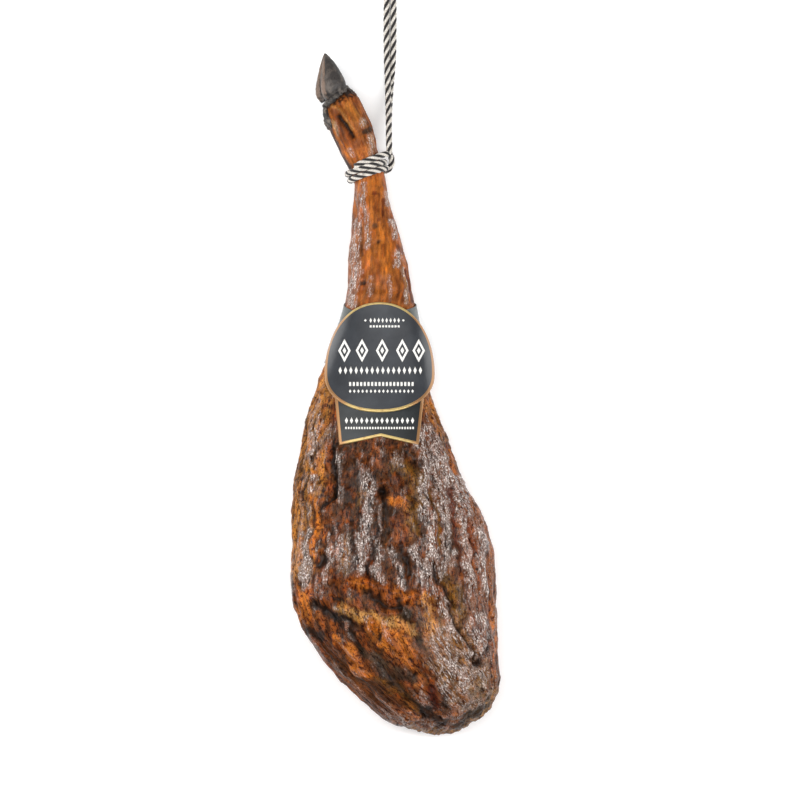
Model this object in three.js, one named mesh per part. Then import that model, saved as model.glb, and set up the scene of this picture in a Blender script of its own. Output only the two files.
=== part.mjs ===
// A bone-in cured ham, laid down with its show side up: the leg with its foot, two claws and two
// dewclaws, a paper collar with a card and a swallowtail ribbon, and a hanging rope hitched
// round the ankle. Millimetres, +Z up, +Y from the butt to the foot, resting on z = 0.
import * as THREE from "three";

// ---- Driving dimensions ----
const LEG_LENGTH = 779; // butt to coronet, along Y
const LEG_WIDTH = 250; // widest point of the butt
const LEG_THICKNESS = 118; // thickest point of the butt, above the surface that it rests on

const CLAW_LENGTH = 51.5; // coronet to tip
const CLAW_WIDTH = 28; // sole to dorsal face
const CLAW_THICKNESS = 21.5; // one claw, side to side
const CLAW_CLEFT = 1.2; // gap between the two claws
const CLAW_STAGGER = 14; // how far the under claw stands back towards the sole side
const FOOT_HEADING = THREE.MathUtils.degToRad(21.8); // the foot turns this far from +Y

const DEWCLAW_LENGTH = 34;
const DEWCLAW_WIDTH = 13;
const DEWCLAW_THICKNESS = 8;

const PAPER = 0.8; // paper and card thickness
const TOUCH_GAP = 0.4; // clearance between pieces that touch
const PAPER_GAP = 0.9; // paper stands this far off the skin, and card off the paper
const COLLAR_BELOW_ANKLE = 161; // top of the collar, measured down the leg from the ankle
const COLLAR_HEIGHT = 70;
const COLLAR_DIP = 12; // how far the collar's top edge dips at the front
const CARD_WIDTH = 132.8; // as it lies, wrapped over the leg
const CARD_RISE = 86.5; // card's widest line to its top
const CARD_DROP = 45; // card's widest line to its bottom
const CARD_BELOW_COLLAR = 85; // collar's top to the card's widest line
const CARD_LIFT = 9; // how far the stiff card stands off the leg at its free side
const CARD_SHIFT = 6.5; // card's centre line, from the middle of the leg under it
const RIBBON_TOP_WIDTH = 107;
const RIBBON_BOTTOM_WIDTH = 95;
const RIBBON_LENGTH = 58;
const RIBBON_NOTCH = 11;
const RIBBON_BELOW_CARD = 26; // card's widest line to the ribbon's hidden top edge

const ROPE_DIAMETER = 7.4;
const WRAP_WIDTH = 15.5; // the hitch's two wraps, side by side
const HITCH_LUMP = 4.5; // extra height where the rope's legs pass under the wraps
const LUMP_ANGLE = 0.3; // radians up from the leg's right edge
const LUMP_SPREAD = 0.45; // radians
const KNOT_RADIUS = 11;
const KNOT_LENGTH = 46;

// ---- Resolution ----
const LEG_SEGMENTS = 48;
const RINGS_PER_RIB = 2;
const PAPER_GRID = { rings: 8, segments: 60 };
const DEWCLAW_GRID = { rings: 5, segments: 20 };
const CLAW_SEGMENTS = 20;
const COLLAR_SEGMENTS = 56;
const COLLAR_ROWS = 4;
const HITCH_SEGMENTS = 48;
const HITCH_SIDES = 12;
const ROPE_SIDES = 10;
const KNOT_SEGMENTS = 20;
const ROPE_STEP = 2.6 * ROPE_DIAMETER;

// ---- The leg's ribs, from the butt to the coronet ----
// Each rib is a cross-section drawn from its left edge to its right edge, with the heights of its
// under and upper sides and how far its crest leans to the right. A negative under height is the
// part that the leg's weight presses flat.
const RIBS = [
  { left: [41, -409], right: [71, -408], under: 36, over: 58, crest: 0 },
  { left: [10, -400], right: [92, -394], under: 22, over: 84, crest: 0.05 },
  { left: [-19, -385], right: [110, -381], under: 8, over: 104, crest: 0.1 },
  { left: [-49, -361], right: [124, -354], under: 0, over: 117, crest: 0.14 },
  { left: [-85, -319], right: [122, -316], under: -4, over: 125, crest: 0.18 },
  { left: [-113, -280], right: [121, -280], under: -5, over: 128, crest: 0.2 },
  { left: [-125, -236], right: [119, -236], under: -5, over: 127, crest: 0.2 },
  { left: [-124, -188], right: [117, -188], under: -5, over: 122, crest: 0.2 },
  { left: [-124, -146], right: [103, -146], under: -4, over: 116, crest: 0.2 },
  { left: [-122, -114], right: [83, -114], under: -2, over: 111, crest: 0.2 },
  { left: [-116, -78], right: [71, -78], under: 0.5, over: 104, crest: 0.18 },
  { left: [-110, -44], right: [58, -44], under: 2, over: 97, crest: 0.15 },
  { left: [-100, -8], right: [44, -8], under: 4, over: 90, crest: 0.12 },
  { left: [-88, 26], right: [37, 26], under: 5.5, over: 83, crest: 0.1 },
  { left: [-74, 64], right: [31, 64], under: 7, over: 77, crest: 0.1 },
  { left: [-60, 108], right: [23, 108], under: 8, over: 71, crest: 0.1 },
  { left: [-56, 158], right: [13, 158], under: 9, over: 65, crest: 0.1 },
  { left: [-53, 202], right: [1, 202], under: 9.5, over: 59, crest: 0.1 },
  { left: [-50, 234], right: [-8, 234], under: 10, over: 56, crest: 0.05 },
  { left: [-49, 253], right: [-12.5, 263], under: 10.5, over: 52, crest: 0 },
  { left: [-56.5, 271], right: [-19.5, 284], under: 9.5, over: 53, crest: 0 },
  { left: [-72, 299], right: [-25, 316], under: 7, over: 57, crest: 0 },
  { left: [-82, 323], right: [-36, 340], under: 7, over: 57, crest: 0 },
  { left: [-84.5, 335], right: [-46, 358], under: 8, over: 55.5, crest: 0 },
  { left: [-84, 342], right: [-59, 370], under: 9, over: 54, crest: 0 },
];
const ANKLE_RIB = 19;
const WAIST_HEIGHT = 0.44; // height of a section's widest line, as a share of its thickness
const UNDER_SQUARENESS = 0.95; // exponent below the widest line: under 1 is fuller than an ellipse
const SIDE_SQUARENESS = 0.97; // exponent of the sideways reach

// ---- Materials ----
const SKIN = new THREE.MeshStandardMaterial({ color: 0x8a4a1e, roughness: 0.38 });
const HORN = new THREE.MeshStandardMaterial({ color: 0x3d3836, roughness: 0.5 });
const CARD = new THREE.MeshStandardMaterial({ color: 0x43454b, roughness: 0.42 });
const COLLAR = new THREE.MeshStandardMaterial({ color: 0x4b504b, roughness: 0.5 });
const RIBBON = new THREE.MeshStandardMaterial({ color: 0x2f3433, roughness: 0.45 });
const ROPE = new THREE.MeshStandardMaterial({ color: 0x8c8a88, roughness: 0.8 });

// ---- The leg as a surface ----
const span = (values) => Math.max(...values) - Math.min(...values);
const STRETCH = new THREE.Vector3(
  LEG_WIDTH / span(RIBS.flatMap((rib) => [rib.left[0], rib.right[0]])),
  LEG_LENGTH / span(RIBS.flatMap((rib) => [rib.left[1], rib.right[1]])),
  LEG_THICKNESS / Math.max(...RIBS.map((rib) => rib.over)),
);

/** A smooth curve through one value triple of every rib, stretched to the driving dimensions. */
function ribCurve(triple) {
  const points = RIBS.map((rib) => new THREE.Vector3(...triple(rib)));
  return new THREE.CatmullRomCurve3(points, false, "catmullrom", 0.5);
}
const leftCurve = ribCurve((rib) => [...rib.left, rib.under]);
const rightCurve = ribCurve((rib) => [...rib.right, rib.over]);
const crestCurve = ribCurve((rib) => [rib.crest, 0, 0]);

/** The cross-section at a station, where station counts ribs from the butt. */
function section(station) {
  const t = THREE.MathUtils.clamp(station / (RIBS.length - 1), 0, 1);
  const left = leftCurve.getPoint(t).multiply(STRETCH);
  const right = rightCurve.getPoint(t).multiply(STRETCH);
  const waist = THREE.MathUtils.lerp(left.z, right.z, WAIST_HEIGHT);
  return {
    centre: new THREE.Vector3((left.x + right.x) / 2, (left.y + right.y) / 2, waist),
    across: new THREE.Vector3((right.x - left.x) / 2, (right.y - left.y) / 2, 0),
    rise: right.z - waist,
    drop: waist - left.z,
    crest: crestCurve.getPoint(t).x,
  };
}

const power = (value, exponent) => Math.sign(value) * Math.abs(value) ** exponent;

/** A point of the leg's surface. Angle 0 is the right edge, a quarter turn on is the top. */
function skinPoint(station, angle) {
  const { centre, across, rise, drop, crest } = section(station);
  const up = Math.sin(angle);
  const side = power(Math.cos(angle), SIDE_SQUARENESS) + crest * Math.max(up, 0) ** 2;
  const point = centre.clone().addScaledVector(across, side);
  point.z += up > 0 ? rise * up : drop * power(up, UNDER_SQUARENESS);
  point.z = Math.max(point.z, 0);
  return point;
}

/** The outward direction of the leg's surface at a point. */
function skinNormal(station, angle) {
  const step = 0.02; // in stations and in radians
  const along = skinPoint(station + step, angle).sub(skinPoint(station - step, angle));
  const around = skinPoint(station, angle + step).sub(skinPoint(station, angle - step));
  return along.cross(around).normalize();
}

/** A point at a height above the leg's skin. */
function skinOffset(station, angle, height) {
  return skinPoint(station, angle).addScaledVector(skinNormal(station, angle), height);
}

const SEARCH_LIMIT = 1e-4; // a search by halving stops here

/** The station whose centre lies at a given Y. */
function stationAt(y) {
  let low = 0;
  let high = RIBS.length - 1;
  while (high - low > SEARCH_LIMIT) {
    const middle = (low + high) / 2;
    if (section(middle).centre.y < y) low = middle;
    else high = middle;
  }
  return low;
}

// ---- Mesh makers ----
/** A closed geometry from points and triangles, with its faces turned outwards. */
function closedGeometry(points, triangles) {
  let volume = 0;
  for (const [a, b, c] of triangles) {
    volume += points[a].dot(points[b].clone().cross(points[c]));
  }
  const faces = volume < 0 ? triangles.map(([a, b, c]) => [a, c, b]) : triangles;
  const geometry = new THREE.BufferGeometry().setFromPoints(points);
  geometry.setIndex(faces.flat());
  geometry.computeVertexNormals();
  return geometry;
}

/** The two triangles of each quad between two rings of equal count. */
function bridge(first, second, count) {
  const triangles = [];
  for (let i = 0; i < count; i += 1) {
    const next = (i + 1) % count;
    triangles.push([first + i, first + next, second + next]);
    triangles.push([first + i, second + next, second + i]);
  }
  return triangles;
}

/** A solid through rings of points, closed at each end by a fan to the ring's middle or a tip. */
function loft(rings, tip = null) {
  const count = rings[0].length;
  const points = rings.flat();
  const triangles = [];
  for (let r = 0; r + 1 < rings.length; r += 1) {
    triangles.push(...bridge(r * count, (r + 1) * count, count));
  }
  const middle = (ring) =>
    ring.reduce((sum, point) => sum.add(point), new THREE.Vector3()).divideScalar(count);
  const start = points.push(middle(rings[0])) - 1;
  const end = points.push(tip ?? middle(rings.at(-1))) - 1;
  const last = (rings.length - 1) * count;
  for (let i = 0; i < count; i += 1) {
    const next = (i + 1) % count;
    triangles.push([start, next, i], [end, last + i, last + next]);
  }
  return closedGeometry(points, triangles);
}

/** A ring-shaped solid through sections that follow each other round and meet again. */
function ringLoft(sections) {
  const count = sections[0].length;
  const triangles = sections.flatMap((_, s) =>
    bridge(s * count, ((s + 1) % sections.length) * count, count),
  );
  return closedGeometry(sections.flat(), triangles);
}

/**
 * A thin solid that covers a patch of the leg, from a middle place to an outline that goes round
 * it, where a place is a station and an angle. A height takes the angle and the reach, which
 * runs from 0 at the middle to 1 at the outline.
 */
function patch(middle, outline, innerHeight, outerHeight, { rings, segments }) {
  const points = [];
  const rows = [innerHeight, outerHeight].map((height) => {
    const start = points.length;
    points.push(skinOffset(middle[0], middle[1], height(middle[1], 0)));
    for (let r = 1; r <= rings; r += 1) {
      for (let i = 0; i < segments; i += 1) {
        const reach = r / rings;
        const edge = outline((i / segments) * 2 * Math.PI);
        const station = THREE.MathUtils.lerp(middle[0], edge[0], reach);
        const angle = THREE.MathUtils.lerp(middle[1], edge[1], reach);
        points.push(skinOffset(station, angle, height(angle, reach)));
      }
    }
    return start;
  });
  const ring = (start, r) => start + 1 + (r - 1) * segments;
  const triangles = bridge(ring(rows[0], rings), ring(rows[1], rings), segments);
  rows.forEach((start, side) => {
    const faces = [];
    for (let i = 0; i < segments; i += 1) {
      faces.push([start, ring(start, 1) + i, ring(start, 1) + ((i + 1) % segments)]);
    }
    for (let r = 1; r < rings; r += 1) {
      faces.push(...bridge(ring(start, r + 1), ring(start, r), segments));
    }
    // The inner side's faces look the other way from the outer side's.
    triangles.push(...(side ? faces : faces.map(([a, b, c]) => [a, c, b])));
  });
  return closedGeometry(points, triangles);
}

function named(name, geometry, material) {
  const mesh = new THREE.Mesh(geometry, material);
  mesh.name = name;
  return mesh;
}

// ---- Leg ----
function makeLeg() {
  const rings = [];
  for (let r = 0; r <= (RIBS.length - 1) * RINGS_PER_RIB; r += 1) {
    const ring = [];
    for (let i = 0; i < LEG_SEGMENTS; i += 1) {
      ring.push(skinPoint(r / RINGS_PER_RIB, (i / LEG_SEGMENTS) * 2 * Math.PI));
    }
    rings.push(ring);
  }
  return named("ham_leg", loft(rings), SKIN);
}

// ---- Claws ----
// Shares of the claw's length, width (sole side, dorsal side) and thickness, coronet to tip.
const CLAW_SECTIONS = [
  [0, -0.34, 0.5, 0.88],
  [0.08, -0.43, 0.585, 0.98],
  [0.25, -0.41, 0.565, 1],
  [0.46, -0.23, 0.515, 0.93],
  [0.67, -0.05, 0.455, 0.74],
  [0.83, 0.085, 0.38, 0.51],
  [0.95, 0.18, 0.31, 0.28],
];
const CLAW_TIP = 0.26; // share of the width, from the foot's axis to the tip
const CLAW_TIP_HEIGHT = 3; // from the cleft's middle to the tip
const CLAW_BULGE = 0.72; // share of the thickness that lies outside the claw's widest line
const CLAW_CLOSING = 0.6; // share of the stagger that is gone at the tips
const CLAW_SQUARENESS = 0.82; // exponent of a section's outline

/** One claw in the foot's own frame: X to the dorsal side, Y to the toe, Z to the upper side. */
function makeClaw(name, side) {
  const end = section(RIBS.length - 1);
  const slope = Math.tan(Math.atan2(end.across.y, end.across.x) - FOOT_HEADING);
  const stagger = side < 0 ? CLAW_STAGGER * Math.cos(Math.atan(slope)) : 0;
  const onPlane = (x, distance, z) =>
    new THREE.Vector3(x, distance + TOUCH_GAP + x * slope, side * z);
  const rings = CLAW_SECTIONS.map(([along, sole, dorsal, thick]) => {
    const shift = -stagger * (1 - CLAW_CLOSING * along);
    const middle = (CLAW_WIDTH * (dorsal + sole)) / 2 + shift;
    const half = (CLAW_WIDTH * (dorsal - sole)) / 2;
    const thickness = CLAW_THICKNESS * thick;
    const waist = CLAW_CLEFT / 2 + thickness * (1 - CLAW_BULGE);
    return Array.from({ length: CLAW_SEGMENTS }, (_, i) => {
      const turn = (i / CLAW_SEGMENTS) * 2 * Math.PI;
      const out = Math.sin(turn);
      const bulge = out > 0 ? CLAW_BULGE : 1 - CLAW_BULGE;
      const x = middle + half * power(Math.cos(turn), CLAW_SQUARENESS);
      const z = waist + thickness * bulge * power(out, CLAW_SQUARENESS);
      return onPlane(x, CLAW_LENGTH * along, z);
    });
  });
  const tipX = CLAW_WIDTH * CLAW_TIP - stagger * (1 - CLAW_CLOSING);
  return named(name, loft(rings, onPlane(tipX, CLAW_LENGTH, CLAW_TIP_HEIGHT)), HORN);
}

function makeFoot() {
  const foot = new THREE.Group();
  foot.position.copy(section(RIBS.length - 1).centre);
  foot.position.z += (section(RIBS.length - 1).rise - section(RIBS.length - 1).drop) / 2;
  foot.rotation.z = FOOT_HEADING;
  foot.add(makeClaw("outer_claw", 1), makeClaw("inner_claw", -1));
  return foot;
}

/** A dewclaw: a small horn dome on the foot's skin, at a station and an angle round the leg. */
function makeDewclaw(name, station, angle) {
  const step = 0.1;
  const perStation =
    skinPoint(station + step, angle).distanceTo(skinPoint(station - step, angle)) / (2 * step);
  const perRadian =
    skinPoint(station, angle + step).distanceTo(skinPoint(station, angle - step)) / (2 * step);
  const outline = (turn) => [
    station + (Math.cos(turn) * DEWCLAW_LENGTH) / 2 / perStation,
    angle + (Math.sin(turn) * DEWCLAW_WIDTH) / 2 / perRadian,
  ];
  const skin = () => TOUCH_GAP;
  const dome = (_, reach) => TOUCH_GAP + 0.6 + DEWCLAW_THICKNESS * Math.sqrt(1 - reach ** 2);
  return named(name, patch([station, angle], outline, skin, dome, DEWCLAW_GRID), HORN);
}

// ---- Collar, card and ribbon ----
const ankle = section(ANKLE_RIB + 0.5).centre.y;
const collarTop = ankle - COLLAR_BELOW_ANKLE;
const cardLine = collarTop - CARD_BELOW_COLLAR; // Y of the card's widest line
const collarLayer = PAPER_GAP; // height of the collar's and the ribbon's inner face
const cardLayer = collarLayer + PAPER + PAPER_GAP; // height of the card's inner face

function makeCollar() {
  const sections = Array.from({ length: COLLAR_SEGMENTS }, (_, i) => {
    const angle = (i / COLLAR_SEGMENTS) * 2 * Math.PI;
    const top = collarTop - COLLAR_DIP * Math.sin(angle);
    const bottom = collarTop - COLLAR_HEIGHT;
    const rows = Array.from({ length: COLLAR_ROWS + 1 }, (_, r) =>
      stationAt(bottom + ((top - bottom) * r) / COLLAR_ROWS),
    );
    const wall = (height) => rows.map((station) => skinOffset(station, angle, height));
    return [...wall(collarLayer), ...wall(collarLayer + PAPER).reverse()];
  });
  return named("neck_band", ringLoft(sections), COLLAR);
}

const cardAxis = section(stationAt(cardLine)).centre.x + CARD_SHIFT; // X of its centre line

/** The place on a layer over the leg, at a Y and at a distance from the card's axis. */
function placeAt(y, distance, height) {
  const station = stationAt(y);
  let low = 0;
  let high = Math.PI;
  while (high - low > SEARCH_LIMIT) {
    const middle = (low + high) / 2;
    if (skinOffset(station, middle, height(middle)).x - cardAxis > distance) low = middle;
    else high = middle;
  }
  return [station, low];
}

/** An egg-shaped card, wrapped over the collar and standing off at the leg's free side. */
function makeCard() {
  const inner = (angle) => cardLayer + (CARD_LIFT * (1 + Math.cos(angle))) / 2;
  const outer = (angle) => inner(angle) + PAPER;
  const outline = (turn) => {
    const rise = Math.sin(turn) > 0 ? CARD_RISE : CARD_DROP;
    return placeAt(cardLine + rise * Math.sin(turn), (CARD_WIDTH / 2) * Math.cos(turn), inner);
  };
  const middle = placeAt(cardLine + (CARD_RISE - CARD_DROP) / 2, 0, inner);
  return named("main_label", patch(middle, outline, inner, outer, PAPER_GRID), CARD);
}

/** A swallowtail ribbon whose top edge is tucked under the card. */
function makeRibbon() {
  const top = cardLine - RIBBON_BELOW_CARD;
  const bottom = top - RIBBON_LENGTH;
  const inner = () => collarLayer;
  const outer = () => collarLayer + PAPER;
  const corners = [
    [RIBBON_TOP_WIDTH / 2, top],
    [-RIBBON_TOP_WIDTH / 2, top],
    [-RIBBON_BOTTOM_WIDTH / 2, bottom],
    [0, bottom + RIBBON_NOTCH],
    [RIBBON_BOTTOM_WIDTH / 2, bottom],
  ].map(([x, y]) => placeAt(y, x, inner));
  const outline = (turn) => {
    const sides = (turn / (2 * Math.PI)) * corners.length;
    const side = Math.floor(sides + 1e-9);
    const next = corners[(side + 1) % corners.length];
    return corners[side].map((value, i) => THREE.MathUtils.lerp(value, next[i], sides - side));
  };
  const middle = placeAt((top + bottom + RIBBON_NOTCH) / 2, 0, inner);
  return named("ribbon_label", patch(middle, outline, inner, outer, PAPER_GRID), RIBBON);
}

// ---- Rope ----
const WRAP_SQUARENESS = 0.6; // exponent of the outline round the two wraps

/** The two wraps of the hitch as one ring round the ankle, with its lump at the free side. */
function makeHitch() {
  const middle = ANKLE_RIB + 0.5;
  const step = 0.1;
  const perStation =
    section(middle + step).centre.distanceTo(section(middle - step).centre) / (2 * step);
  const sections = Array.from({ length: HITCH_SEGMENTS }, (_, i) => {
    const angle = (i / HITCH_SEGMENTS) * 2 * Math.PI;
    const away = (2 * Math.sin((angle - LUMP_ANGLE) / 2)) / LUMP_SPREAD;
    const lump = HITCH_LUMP * Math.exp(-(away ** 2));
    return Array.from({ length: HITCH_SIDES }, (_, k) => {
      const turn = (k / HITCH_SIDES) * 2 * Math.PI;
      const along = (WRAP_WIDTH / 2) * power(Math.cos(turn), WRAP_SQUARENESS);
      const rise = (ROPE_DIAMETER / 2) * (1 + power(Math.sin(turn), WRAP_SQUARENESS));
      const height = TOUCH_GAP + rise + lump * Math.max(Math.sin(turn), 0);
      return skinOffset(middle + along / perStation, angle, height);
    });
  });
  return named("rope_hitch", ringLoft(sections), ROPE);
}

// The two free legs of the rope, from the hitch to the knot: chosen points.
const ROPE_ROUTES = {
  rope_leg_left: [
    [-7.2, 287, 36.5],
    [-7.6, 300, 33.4],
    [-8, 320, 27],
    [-8.4, 340, 20.4],
    [-8.9, 360, 15],
    [-9.6, 380, 11.6],
    [-10.3, 400, 8.6],
    [-10.8, 420, 5.6],
    [-10.9, 440, 4.2],
    [-10.8, 460, 3.9],
    [-10.6, 476, 5],
    [-10.5, 486, 7.2],
    [-10.5, 495, 8.4],
    [-10.5, 500, 8.5],
  ],
  rope_leg_right: [
    [-7.4, 287, 28.4],
    [-7.8, 300, 24.6],
    [-8, 320, 17.6],
    [-7.6, 340, 10.8],
    [-6.6, 360, 6.2],
    [-5, 380, 4.2],
    [-3.4, 400, 3.9],
    [-2.7, 420, 3.9],
    [-2.5, 440, 3.9],
    [-2.5, 460, 3.9],
    [-2.5, 476, 5],
    [-2.6, 486, 7.2],
    [-2.6, 495, 8.4],
    [-2.6, 500, 8.5],
  ],
};

function makeRopeLeg(name) {
  const points = ROPE_ROUTES[name].map((point) => new THREE.Vector3(...point));
  const path = new THREE.CatmullRomCurve3(points, false, "centripetal");
  const sides = Array.from({ length: ROPE_SIDES }, (_, i) => {
    const turn = (i / ROPE_SIDES) * 2 * Math.PI;
    return new THREE.Vector2(Math.cos(turn), Math.sin(turn)).multiplyScalar(ROPE_DIAMETER / 2);
  });
  const geometry = new THREE.ExtrudeGeometry(new THREE.Shape(sides), {
    steps: Math.ceil(path.getLength() / ROPE_STEP),
    extrudePath: path,
  });
  return named(name, geometry, ROPE);
}

/** The knot that joins the two legs, with its short frayed ends, as one turned solid. */
function makeKnot() {
  const ends = Object.values(ROPE_ROUTES).map((route) => new THREE.Vector3(...route.at(-1)));
  const middle = ends[0].add(ends[1]).multiplyScalar(0.5);
  const profile = [
    [0, 0],
    [0.74, 0],
    [0.93, 0.1],
    [1, 0.26],
    [0.93, 0.42],
    [0.72, 0.54],
    [0.62, 0.66],
    [0.66, 1],
    [0, 1],
  ].map(([radius, along]) => new THREE.Vector2(radius * KNOT_RADIUS, along * KNOT_LENGTH));
  const knot = named("rope_knot", new THREE.LatheGeometry(profile, KNOT_SEGMENTS), ROPE);
  knot.position.set(middle.x, middle.y + TOUCH_GAP, KNOT_RADIUS + TOUCH_GAP);
  return knot;
}

// ---- Assembly ----
const ham = new THREE.Group();
ham.add(
  makeLeg(),
  makeFoot(),
  makeDewclaw("outer_dewclaw", RIBS.length - 2.4, THREE.MathUtils.degToRad(152)),
  makeDewclaw("inner_dewclaw", RIBS.length - 3, THREE.MathUtils.degToRad(208)),
  makeCollar(),
  makeCard(),
  makeRibbon(),
  makeHitch(),
  ...Object.keys(ROPE_ROUTES).map(makeRopeLeg),
  makeKnot(),
);

export default ham;
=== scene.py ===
"""A whole dry-cured ham laid down on its side: leg, hoof, paper collar with card and ribbon, rope."""

import logging
import math
from collections.abc import Sequence
from dataclasses import dataclass
from enum import Enum, IntEnum

import bmesh
import bpy
import numpy as np
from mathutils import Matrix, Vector, noise
from mathutils.bvhtree import BVHTree


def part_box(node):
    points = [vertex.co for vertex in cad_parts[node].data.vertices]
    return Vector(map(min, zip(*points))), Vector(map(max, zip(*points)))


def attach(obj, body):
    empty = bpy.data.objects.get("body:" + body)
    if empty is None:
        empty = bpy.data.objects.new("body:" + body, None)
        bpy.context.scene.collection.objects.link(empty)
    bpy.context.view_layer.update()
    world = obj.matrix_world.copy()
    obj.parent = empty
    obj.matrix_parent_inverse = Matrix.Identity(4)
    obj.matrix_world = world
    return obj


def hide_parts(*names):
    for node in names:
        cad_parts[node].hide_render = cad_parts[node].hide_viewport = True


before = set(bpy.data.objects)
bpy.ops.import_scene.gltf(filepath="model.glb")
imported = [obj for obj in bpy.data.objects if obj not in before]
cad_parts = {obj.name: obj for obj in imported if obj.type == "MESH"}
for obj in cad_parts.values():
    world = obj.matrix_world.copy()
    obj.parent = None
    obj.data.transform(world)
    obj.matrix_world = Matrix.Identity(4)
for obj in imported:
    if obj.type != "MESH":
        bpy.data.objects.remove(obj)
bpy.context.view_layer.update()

LOG = logging.getLogger("ham")
MM = 0.001  # every size below is in millimetres; meshes are made in metres
BODY = "root"
Plan = tuple[float, float]
Place = tuple[float, float, float]
Colour = tuple[float, float, float, float]
Mesh = bpy.types.Mesh
Piece = bpy.types.Object
Material = bpy.types.Material
Socket = bpy.types.NodeSocket


class Pattern(IntEnum):
    """The random patterns' seeds, one for each use."""

    BEND_ACROSS = 1
    BEND_ALONG = 2
    MARK_EDGE = 3
    SHEEN = 4
    BROAD_TINT = 5
    SMALL_TINT = 6
    CORD = 7
    PUCKER = 8
    SWELL = 9
    CRACK = 10
    CRACK_PATCH = 11
    BRISTLE = 12
    STREAK_SHADE = 13
    PATCH_SHADE = 14
    REDNESS = 15
    FLECK = 16
    CLAW_RING = 20
    CLAW_FIBRE = 21
    SOLE_EDGE = 22
    CLAW_ROOT = 23
    DEWCLAW_SHAPE = 24
    DEWCLAW_TINT = 25
    BAND_GRIT = 26
    BAND_LUMP = 27
    BAND_TINT = 28


# ---- Shared tools ----
def paint(red: int, green: int, blue: int) -> Colour:
    """Turn a colour in everyday 0 to 255 steps into linear light, with full cover.

    Args:
        red: The red step.
        green: The green step.
        blue: The blue step.

    Returns:
        The linear red, green and blue, and 1 for the cover.
    """
    shares = [step / 255 for step in (red, green, blue)]
    linear = [s / 12.92 if s <= 0.04045 else ((s + 0.055) / 1.055) ** 2.4 for s in shares]
    return (*linear, 1.0)


def ease(value: np.ndarray, low: float, high: float) -> np.ndarray:
    """Rise smoothly from 0 at low to 1 at high, or fall where high is the smaller."""
    share = np.clip((value - low) / (high - low), 0, 1)
    return share * share * (3 - 2 * share)


def mix(first: np.ndarray | Colour, second: np.ndarray | Colour, share: np.ndarray | float) -> np.ndarray:
    """Go from one set of values towards another by a share."""
    return np.asarray(first) + (np.asarray(second) - np.asarray(first)) * share


def lumps(points: np.ndarray, size: float | Place, octaves: int, seed: Pattern) -> np.ndarray:
    """Sample soft random lumps at points.

    Args:
        points: Places in millimetres, one a row.
        size: The distance between lumps, in millimetres, or one for each axis.
        octaves: How many finer layers are added.
        seed: Which pattern is used.

    Returns:
        One value for each point, about -1 to 1.
    """
    gain, seed_shift = 1.6, np.array([17.3, 5.1, 9.7])
    places = points / np.array(size) + seed_shift * seed
    values = [noise.fractal(Vector(place), 1.0, 2.0, octaves) for place in places]
    return np.clip(np.array(values) * gain, -1, 1)


def node_points(name: str) -> np.ndarray:
    """Give the corners of a CAD node in millimetres, one a row."""
    return mesh_points(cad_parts[name].data)


def mesh_points(mesh: Mesh) -> np.ndarray:
    """Give a mesh's vertices in millimetres, one a row.

    Args:
        mesh: The mesh to read.

    Returns:
        The places of its vertices.
    """
    flat = np.empty(len(mesh.vertices) * 3)
    mesh.vertices.foreach_get("co", flat)
    return flat.reshape(-1, 3) / MM


def mesh_normals(mesh: Mesh) -> np.ndarray:
    """Give the outward direction at each vertex of a mesh.

    Args:
        mesh: The mesh to read.

    Returns:
        One unit vector a row.
    """
    flat = np.empty(len(mesh.vertices) * 3)
    mesh.vertex_normals.foreach_get("vector", flat)
    return flat.reshape(-1, 3)


def move_points(mesh: Mesh, points: np.ndarray) -> None:
    """Put a mesh's vertices at new places, given in millimetres, one a row."""
    mesh.vertices.foreach_set("co", (points * MM).ravel())
    mesh.update()


def store(mesh: Mesh, name: str, values: np.ndarray) -> None:
    """Keep a number, a vector or a colour for each vertex as a named attribute.

    Args:
        mesh: The mesh to change.
        name: The attribute's name.
        values: One number, or one row of three or four numbers, for each vertex.
    """
    columns = values.shape[1] if values.ndim == 2 else 1
    kinds = {1: ("FLOAT", "value"), 3: ("FLOAT_VECTOR", "vector"), 4: ("FLOAT_COLOR", "color")}
    kind, field = kinds[columns]
    attribute = mesh.attributes.new(name, kind, "POINT")
    attribute.data.foreach_set(field, values.astype(np.float32).ravel())


def new_piece(name: str, mesh: Mesh, *materials: Material) -> Piece:
    """Put a mesh into the scene as a smooth-shaded object.

    Args:
        name: The piece's name.
        mesh: Its mesh, in metres.
        materials: Its materials, in slot order.

    Returns:
        The new object.
    """
    piece = bpy.data.objects.new(name, mesh)
    bpy.context.scene.collection.objects.link(piece)
    mesh.materials.clear()
    for material in materials:
        mesh.materials.append(material)
    mesh.shade_smooth()
    return piece


def shape_mesh(name: str, points: np.ndarray, faces: Sequence[Sequence[int]]) -> Mesh:
    """Make a mesh from points in millimetres, with its faces turned outwards.

    Args:
        name: The mesh's name.
        points: One place a row.
        faces: Vertex numbers of each face.

    Returns:
        The mesh, in metres.
    """
    mesh = bpy.data.meshes.new(name)
    mesh.from_pydata((points * MM).tolist(), [], [list(face) for face in faces])
    work = bmesh.new()
    work.from_mesh(mesh)
    bmesh.ops.recalc_face_normals(work, faces=work.faces)
    work.to_mesh(mesh)
    work.free()
    return mesh


def baked_mesh(piece: Piece) -> Mesh:
    """Give the plain mesh that an object's modifiers make."""
    graph = bpy.context.evaluated_depsgraph_get()
    return bpy.data.meshes.new_from_object(piece.evaluated_get(graph), depsgraph=graph)


def drop(piece: Piece) -> None:
    """Remove a helper object and its data.

    Args:
        piece: The helper.
    """
    data = piece.data
    bpy.data.objects.remove(piece)
    if isinstance(data, bpy.types.Curve):
        bpy.data.curves.remove(data)
    elif data.users == 0:
        bpy.data.meshes.remove(data)


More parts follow.
